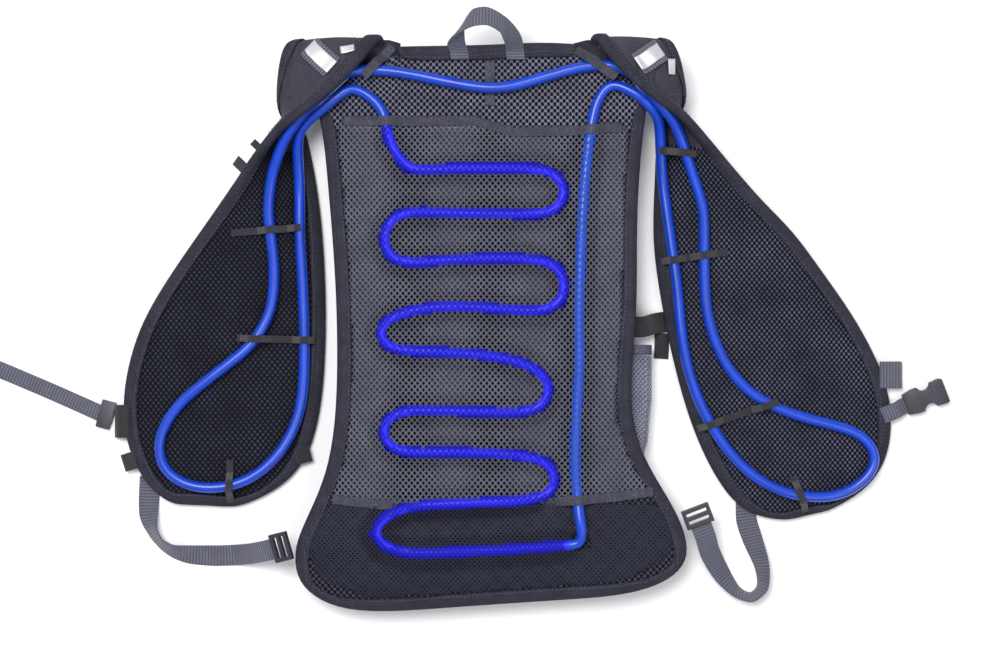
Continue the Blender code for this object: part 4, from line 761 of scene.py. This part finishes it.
def tent_heights(low, high, with_riser):
    """Heights of a cloth stretched over the back and the hose, as a grid read by place in plan."""
    back, hose = surface_tree("back_panel"), surface_tree("cooling_hose")
    columns = int((high.x - low.x) / TENT_CELL) + 2
    rows = int((high.y - low.y) / TENT_CELL) + 2
    heights = np.zeros((rows, columns))
    for j in range(rows):
        for i in range(columns):
            x, y = low.x + i * TENT_CELL, low.y + j * TENT_CELL
            found = [drop(back, x, y)]
            if with_riser or x < RISER_START:
                found.append(drop(hose, x, y))
            heights[j, i] = max([z for z in found if z is not None] or [0.0])
    fall = TENT_SLOPE * TENT_CELL
    sides = [(i, j, fall * math.hypot(i - 1, j - 1)) for i in range(3) for j in range(3)]
    for _ in range(TENT_REACH):
        wide = np.pad(heights, 1, mode="edge")
        heights = np.maximum.reduce([wide[j:j + rows, i:i + columns] - lost for i, j, lost in sides])
    for _ in range(TENT_EASING):
        wide = np.pad(heights, 1, mode="edge")
        heights = (wide[:-2, 1:-1] + wide[2:, 1:-1] + wide[1:-1, :-2] + wide[1:-1, 2:]) / 4

    def read(x, y):
        u = min(max((x - low.x) / TENT_CELL, 0.0), columns - LAST_CELL)
        v = min(max((y - low.y) / TENT_CELL, 0.0), rows - LAST_CELL)
        i, j = int(u), int(v)
        u, v = u - i, v - j
        return ((1 - v) * ((1 - u) * heights[j, i] + u * heights[j, i + 1])
                + v * ((1 - u) * heights[j + 1, i] + u * heights[j + 1, i + 1]))
    return read


def flat_net(low, high, cell, strand, inside):
    """A flat net of diamonds between two corners, kept where a function of its place says so."""
    half, middle = (high - low) / 2, (high + low) / 2
    reach = int(half.x / cell.x + half.y / cell.y) + 2
    skew = Matrix(((cell.x / 2, -cell.x / 2, 0.0, middle.x), (cell.y / 2, cell.y / 2, 0.0, middle.y),
                   (0.0, 0.0, 1.0, 0.0), (0.0, 0.0, 0.0, 1.0)))
    bm = bmesh.new()
    bmesh.ops.create_grid(bm, x_segments=2 * reach, y_segments=2 * reach, size=reach, matrix=skew)
    outside = [f for f in bm.faces if not inside(f.calc_center_median().xy)]
    bmesh.ops.delete(bm, geom=outside, context="FACES")
    inset = bmesh.ops.inset_individual(bm, faces=bm.faces[:], thickness=strand, use_even_offset=True)
    strands = set(inset["faces"])
    bmesh.ops.delete(bm, geom=[f for f in bm.faces if f not in strands], context="FACES")
    return bm


def knit_net(node_name, material, cell, strand, depth, with_riser):
    """A net of diamonds over its solid and a margin that runs under the bindings and tapes."""
    low, high = (Vector(p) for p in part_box(node_name))
    margin = Vector((NET_MARGIN, NET_MARGIN, 0.0))
    height = tent_heights(low - margin, high + margin, with_riser)
    surface, hose = surface_tree(node_name), surface_tree("cooling_hose")
    turns = (Matrix.Rotation(math.radians(turn), 2) for turn in range(0, 360, 45))
    probes = [Vector((0.0, 0.0))] + [turn @ Vector((NET_MARGIN, 0.0)) for turn in turns]

    def inside(place):
        reached = any(drop(surface, *(place + probe)) is not None for probe in probes)
        above = place.y > tape_line("lower_tape", place.x)
        if with_riser:
            return reached and above and place.y < tape_line("upper_tape", place.x)
        return reached and not above and (place - HOSE_HOLE).length > HOSE_HOLE_RADIUS

    bm = flat_net(low.xy - margin.xy, high.xy + margin.xy, cell, strand, inside)
    over, risen = (bm.verts.layers.float.new(key) for key in ("over_hose", "over_riser"))
    for vert in bm.verts:
        vert.co.z = height(*vert.co.xy) + NET_CLEARANCE
        key = over if vert.co.x < RISER_START + RISER_MARGIN else risen
        vert[key] = 0.0 if drop(hose, *vert.co.xy) is None else 1.0
    strands = sum(face.calc_area() for face in bm.faces)
    bmesh.ops.solidify(bm, geom=bm.faces[:], thickness=-depth)
    piece = add_piece(node_name + "_knit", bm, material, "cover_net", (node_name,))
    return height


def tape_line(name, x):
    """Where in Y a tape across the back has its middle."""
    return float(np.interp(x, *zip(*TAPE_LINES[name])))


def sunk_under_hose(name, x):
    """How far a tape has gone down under the hose that lies along it, from 0 to 1."""
    if name not in HOSE_ON_TAPE:
        return 0.0
    start, end = HOSE_ON_TAPE[name]
    return min(max(min(x - start, end - x) / TAPE_DIP, 0.0), 1.0)


def lay_cross_tape(node_name, height):
    """A thin tape across the back along its line, on the net or under the hose where that lies on it."""
    low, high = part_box(node_name)
    back = surface_tree("back_panel")
    steps = round((high[0] - low[0]) / TAPE_STEP)
    bm = bmesh.new()
    for step, ring in grow_rings(bm, steps + 1):
        x = low[0] + (high[0] - low[0]) * step / steps
        sunk = sunk_under_hose(node_name, x)
        for vert, share, rise in ring:
            y = tape_line(node_name, x) + share * CROSS_TAPE_WIDTH / 2
            foot = height(x, y) + TAPE_CLEARANCE
            if sunk:
                foot += sunk * (drop(back, x, y) - foot)
            vert.co = (x, y, foot + TAPE_DEPTH * (1 + rise) / 2)
    map_in_plan(bm)
    add_piece(node_name + "_woven", bm, "tape", "seam_tape", (node_name,))


# Hardware and stitches

def notch_sides(piece):
    """Cuts the round notches through which the catch's side buttons are pressed."""
    across = Vector((-BUCKLE_ALONG.y, BUCKLE_ALONG.x, 0.0))
    for sign in (-1, 1):
        place = BUCKLE_CENTRE + BUCKLE_ALONG * NOTCH_ALONG + across * sign * NOTCH_ACROSS
        bm = bmesh.new()
        bmesh.ops.create_cone(bm, cap_ends=True, segments=40, radius1=NOTCH_RADIUS, radius2=NOTCH_RADIUS,
                              depth=NOTCH_DEPTH, matrix=Matrix.Translation(place))
        mesh = bpy.data.meshes.new("notch")
        bm.to_mesh(mesh)
        bm.free()
        cutter = bpy.data.objects.new("notch", mesh)
        bpy.context.scene.collection.objects.link(cutter)
        cut = piece.modifiers.new("Notch", "BOOLEAN")
        cut.object = cutter
        cut.solver = "EXACT"
        cut.operation = "DIFFERENCE"
        seen = piece.evaluated_get(bpy.context.evaluated_depsgraph_get())
        notched = bpy.data.meshes.new_from_object(seen)
        piece.modifiers.clear()
        piece.data = notched
        bpy.data.objects.remove(cutter)


def upper_rim(bm):
    """The vertices of a panel's upper rim, each with its neighbours along it."""
    rim = {}
    for edge in bm.edges:
        rises = [f.normal.z for f in edge.link_faces]
        if len(rises) == 2 and edge.calc_face_angle(0.0) > SEAM_ANGLE and max(rises) > UPWARD:
            first, second = edge.verts
            rim.setdefault(first, []).append(second)
            rim.setdefault(second, []).append(first)
    return rim


def seam_place(vert, rim):
    """Where the seam passes a vertex of the rim, and the panel's normal there, or nothing."""
    around = [edge.other_vert(vert) for edge in vert.link_edges]
    inner = [other for other in around if other not in rim and other.normal.z > UPWARD]
    if not inner:
        return None
    nearest = min(inner, key=lambda other: (other.co - vert.co).length)
    share = min(SEAM_SHARE, SEAM_INSET / (nearest.co - vert.co).length)
    return vert.co.lerp(nearest.co, share), nearest.normal


def stitch_along(bm, start, end, normal, sizes):
    """Stitches from one place to the next, each lying along the seam above the panel."""
    run = end - start
    if run.length < MERGE_DISTANCE:
        return
    forward = run.normalized()
    side = normal.cross(forward).normalized()
    up = forward.cross(side)
    turned = Matrix((forward, side, up)).transposed().to_4x4()
    shape = Matrix.Diagonal((sizes.stitch_length / 2, sizes.thread / 2, sizes.thread / 2, 1.0))
    at = 0.0
    while at < run.length:
        place = Matrix.Translation(start + forward * at + up * STITCH_LIFT)
        bmesh.ops.create_icosphere(bm, subdivisions=1, radius=1.0, matrix=place @ turned @ shape)
        at += sizes.stitch_pitch


# Operators

class VestOperator:
    """What the vest's operators share: the materials come first, then the operator's own pieces."""

    bl_options = {"REGISTER", "UNDO"}

    def execute(self, context):
        if not MATERIALS:
            MATERIALS.update(make_materials(context.scene.vest_sizes, context.scene.vest_colours))
        self.build(context.scene.vest_sizes)
        return {"FINISHED"}


class VEST_OT_back_panel(VestOperator, bpy.types.Operator):
    """Dress the back panel in spacer mesh"""

    bl_idname = "vest.back_panel"
    bl_label = "Back panel"

    def build(self, sizes):
        bm = merged_copy("back_panel")
        map_in_plan(bm)
        piece = add_piece("back_spacer_mesh", bm, "back_mesh", "spacer_mesh", ("back_panel",), levels=3)
        dent(piece, depth=1.6 * MM, size=60 * MM)


class VEST_OT_chest_panels(VestOperator, bpy.types.Operator):
    """Dress both chest panels in spacer mesh, and their shoulder straps in woven cloth"""

    bl_idname = "vest.chest_panels"
    bl_label = "Chest panels"

    def build(self, sizes):
        for side in SIDES:
            bm = merged_copy("chest_panel_" + side)
            mark_seams(bm)
            piece = add_piece("chest_spacer_mesh_" + side, bm, "chest_mesh_" + side, "spacer_mesh",
                              ("chest_panel_" + side,), levels=3)
            unwrap_in_metres(piece)
            piece.data.materials.append(MATERIALS["shoulder"])
            for face in piece.data.polygons:
                face.material_index = int(face.center.y > SHOULDER_START)
            dent(piece, depth=3.2 * MM, size=55 * MM)


class VEST_OT_bindings(VestOperator, bpy.types.Operator):
    """Fold binding tape round the panels"""

    bl_idname = "vest.bindings"
    bl_label = "Bindings"

    def build(self, sizes):
        for name in ("back_binding", "top_binding", "chest_binding_left", "chest_binding_right"):
            add_piece(name + "_tape", merged_copy(name), "binding", "binding_tape", (name,),
                      levels=2, puff=sizes.binding_fill)


class VEST_OT_hose(VestOperator, bpy.types.Operator):
    """Lay the hose circuit"""

    bl_idname = "vest.hose"
    bl_label = "Hose"

    def build(self, sizes):
        add_piece("hose_circuit", merged_copy("cooling_hose"), "hose", "hose_blue", ("cooling_hose",),
                  levels=2, puff=sizes.hose_fill)


class VEST_OT_keepers(VestOperator, bpy.types.Operator):
    """Sew the keeper tapes over the hose"""

    bl_idname = "vest.keepers"
    bl_label = "Keepers"

    def build(self, sizes):
        weave_straps("keepers", step=1.5 * MM, tension=0.3)


class VEST_OT_nets(VestOperator, bpy.types.Operator):
    """Knit both nets over the hose, and lay the upper and lower tapes on them"""

    bl_idname = "vest.nets"
    bl_label = "Nets"

    def build(self, sizes):
        cell = Vector((sizes.net_pitch, sizes.net_rows))
        height = knit_net("cover_net", "cover_net", cell, sizes.net_strand, sizes.net_depth, True)
        cell = Vector((sizes.lumbar_pitch, sizes.lumbar_rows))
        knit_net("lumbar_net", "lumbar_net", cell, sizes.lumbar_strand, sizes.net_depth, False)
        for name in TAPE_LINES:
            lay_cross_tape(name, height)


class VEST_OT_back_tapes(VestOperator, bpy.types.Operator):
    """Sew the tape down the back's middle"""

    bl_idname = "vest.back_tapes"
    bl_label = "Back tapes"

    def build(self, sizes):
        weave_straps("back_tapes")


class VEST_OT_pack(VestOperator, bpy.types.Operator):
    """Make the pack bag"""

    bl_idname = "vest.pack"
    bl_label = "Pack"

    def build(self, sizes):
        add_piece("pack_shell", merged_copy("pack_bag"), "fabric", "pack_fabric", ("pack_bag",), levels=2)


class VEST_OT_side_pocket(VestOperator, bpy.types.Operator):
    """Make the side pocket and its hem"""

    bl_idname = "vest.side_pocket"
    bl_label = "Side pocket"

    def build(self, sizes):
        surface = surface_tree("side_pocket")
        low, high = (Vector(p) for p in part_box("side_pocket"))
        axis = Vector((low.x, 0.0, (low.z + high.z) / 2))
        mean = ((high.x - low.x) + (high.z - low.z) / 2) / 2
        reach = POCKET_TURN * mean

        def outward(spot):
            return Vector((math.cos(spot.y / mean), 0.0, math.sin(spot.y / mean)))

        def place_on(spot):
            """The pocket's outer side, where a ray toward its axis meets it first."""
            start = axis + Vector((0.0, spot.x, 0.0)) + outward(spot) * POCKET_OUTSIDE
            return surface.ray_cast(start, -outward(spot), POCKET_OUTSIDE)[0]

        bm = flat_net(Vector((low.y, -reach)), Vector((high.y, reach)),
                      Vector((sizes.pocket_pitch, sizes.pocket_rows)), sizes.pocket_strand,
                      lambda spot: abs(spot.y) < reach and place_on(spot) is not None)
        for vert in bm.verts:
            beside = axis + Vector((0.0, vert.co.x, 0.0)) + outward(vert.co) * mean
            vert.co = place_on(vert.co.xy) or surface.find_nearest(beside)[0]
        bmesh.ops.solidify(bm, geom=bm.faces[:], thickness=POCKET_NET_DEPTH)
        add_piece("side_pocket_mesh", bm, "pocket_net", "pocket_mesh", ("side_pocket",))
        bm = merged_copy("side_pocket_hem")
        crease_borders(bm)
        add_piece("side_pocket_hem_tape", bm, "hem", "binding_tape", ("side_pocket_hem",), levels=2)


class VEST_OT_handle(VestOperator, bpy.types.Operator):
    """Weave the grab handle"""

    bl_idname = "vest.handle"
    bl_label = "Handle"

    def build(self, sizes):
        weave_straps("handle")


class VEST_OT_shoulders(VestOperator, bpy.types.Operator):
    """Weave the shoulder bands with their reflective strips, and sew the shoulders' flat roots"""

    bl_idname = "vest.shoulders"
    bl_label = "Shoulder bands"

    def build(self, sizes):
        weave_straps("shoulders")
        for side, outline in GUSSETS.items():
            bm = bmesh.new()
            bm.faces.new([bm.verts.new((x, y, GUSSET_HEIGHT)) for x, y in outline])
            bmesh.ops.recalc_face_normals(bm, faces=bm.faces)
            bmesh.ops.solidify(bm, geom=bm.faces[:], thickness=GUSSET_THICKNESS)
            bmesh.ops.recalc_face_normals(bm, faces=bm.faces)
            add_piece("shoulder_root_" + side, bm, "binding", "binding_tape", ())


class VEST_OT_loose_straps(VestOperator, bpy.types.Operator):
    """Weave the sternum, side and compression straps"""

    bl_idname = "vest.loose_straps"
    bl_label = "Loose straps"

    def build(self, sizes):
        weave_straps("loose_straps")


class VEST_OT_hardware(VestOperator, bpy.types.Operator):
    """Mould the buckles, the slider and the ladder locks"""

    bl_idname = "vest.hardware"
    bl_label = "Hardware"

    def build(self, sizes):
        for name in ("male_buckle", "female_buckle", "sternum_slider", "ladder_lock_left",
                     "ladder_lock_right"):
            piece = add_piece(name + "_moulding", merged_copy(name), "plastic", "plastic_grey", (name,))
            if name == "female_buckle":
                notch_sides(piece)
            rounding = piece.modifiers.new("Rounding", "BEVEL")
            rounding.width = ROUNDING
            rounding.segments = 3
            rounding.limit_method = "ANGLE"
            rounding.angle_limit = math.radians(35)
            rounding.harden_normals = True


class VEST_OT_tabs(VestOperator, bpy.types.Operator):
    """Sew the small tabs at the left panel's edge"""

    bl_idname = "vest.tabs"
    bl_label = "Tabs"

    def build(self, sizes):
        weave_straps("tabs", step=1.5 * MM)


class VEST_OT_stitches(VestOperator, bpy.types.Operator):
    """Stitch the bindings down"""

    bl_idname = "vest.stitches"
    bl_label = "Stitches"

    def build(self, sizes):
        bm = bmesh.new()
        for name in ("back_panel", "chest_panel_left", "chest_panel_right"):
            panel = merged_copy(name, pair=False)
            panel.normal_update()
            rim = upper_rim(panel)
            done = set()
            for vert, others in rim.items():
                for other in others:
                    key = frozenset((vert, other))
                    ends = [seam_place(v, rim) for v in (vert, other)]
                    if key not in done and all(ends):
                        (start, normal), (end, _) = ends
                        stitch_along(bm, start, end, normal, sizes)
                    done.add(key)
            panel.free()
        add_piece("binding_stitches", bm, "thread", "binding_tape", ())


class VEST_OT_stage(VestOperator, bpy.types.Operator):
    """Set the floor, the lights and the camera"""

    bl_idname = "vest.stage"
    bl_label = "Stage"

    def build(self, sizes):
        scene = bpy.context.scene
        bm = bmesh.new()
        bmesh.ops.create_grid(bm, x_segments=1, y_segments=1, size=FLOOR_HALF)
        mesh = bpy.data.meshes.new("floor_board")
        bm.to_mesh(mesh)
        bm.free()
        mesh.materials.append(MATERIALS["floor"])
        floor = bpy.data.objects.new("floor_board", mesh)
        scene.collection.objects.link(floor)
        scene.world = bpy.data.worlds.new("studio")
        scene.world.use_nodes = True
        sky = scene.world.node_tree.nodes["Background"].inputs
        sky["Color"].default_value = SKY
        sky["Strength"].default_value = SKY_STRENGTH
        for name, (place, size, power) in LIGHTS.items():
            data = bpy.data.lights.new(name, "AREA")
            data.shape = "DISK"
            data.size = size
            data.energy = power
            lamp = bpy.data.objects.new(name, data)
            lamp.location = place
            lamp.rotation_euler = (-Vector(place)).to_track_quat("-Z", "Y").to_euler()
            scene.collection.objects.link(lamp)
        data = bpy.data.cameras.new("camera")
        data.lens = LENS
        data.sensor_width = SENSOR
        data.clip_end = 20.0
        scene.camera = bpy.data.objects.new("camera", data)
        scene.camera.location = CAMERA_PLACE
        scene.collection.objects.link(scene.camera)
        scene.view_settings.view_transform = "Standard"


OPERATORS = (
    VEST_OT_stage, VEST_OT_back_panel, VEST_OT_chest_panels, VEST_OT_bindings, VEST_OT_hose,
    VEST_OT_keepers, VEST_OT_nets, VEST_OT_back_tapes, VEST_OT_pack, VEST_OT_side_pocket,
    VEST_OT_handle, VEST_OT_shoulders, VEST_OT_loose_straps, VEST_OT_hardware, VEST_OT_tabs,
    VEST_OT_stitches,
)


class VEST_PT_pieces(bpy.types.Panel):
    """Lists the vest's sizes, colours and operators"""

    bl_idname = "VEST_PT_pieces"
    bl_label = "Cooling vest"
    bl_space_type = "VIEW_3D"
    bl_region_type = "UI"
    bl_category = "Vest"

    def draw(self, context):
        for group in (context.scene.vest_sizes, context.scene.vest_colours):
            for name in group.__annotations__:
                self.layout.prop(group, name)
        for operator in OPERATORS:
            self.layout.operator(operator.bl_idname)


CLASSES = (VestSizes, VestColours, *OPERATORS, VEST_PT_pieces)


def register():
    for made in CLASSES:
        bpy.utils.register_class(made)
    bpy.types.Scene.vest_sizes = bpy.props.PointerProperty(type=VestSizes)
    bpy.types.Scene.vest_colours = bpy.props.PointerProperty(type=VestColours)


def unregister():
    del bpy.types.Scene.vest_colours
    del bpy.types.Scene.vest_sizes
    for made in reversed(CLASSES):
        bpy.utils.unregister_class(made)


def main():
    """Builds every piece in order."""
    register()
    for operator in OPERATORS:
        group, name = operator.bl_idname.split(".")
        getattr(getattr(bpy.ops, group), name)()


if __name__ == "__main__":
    main()
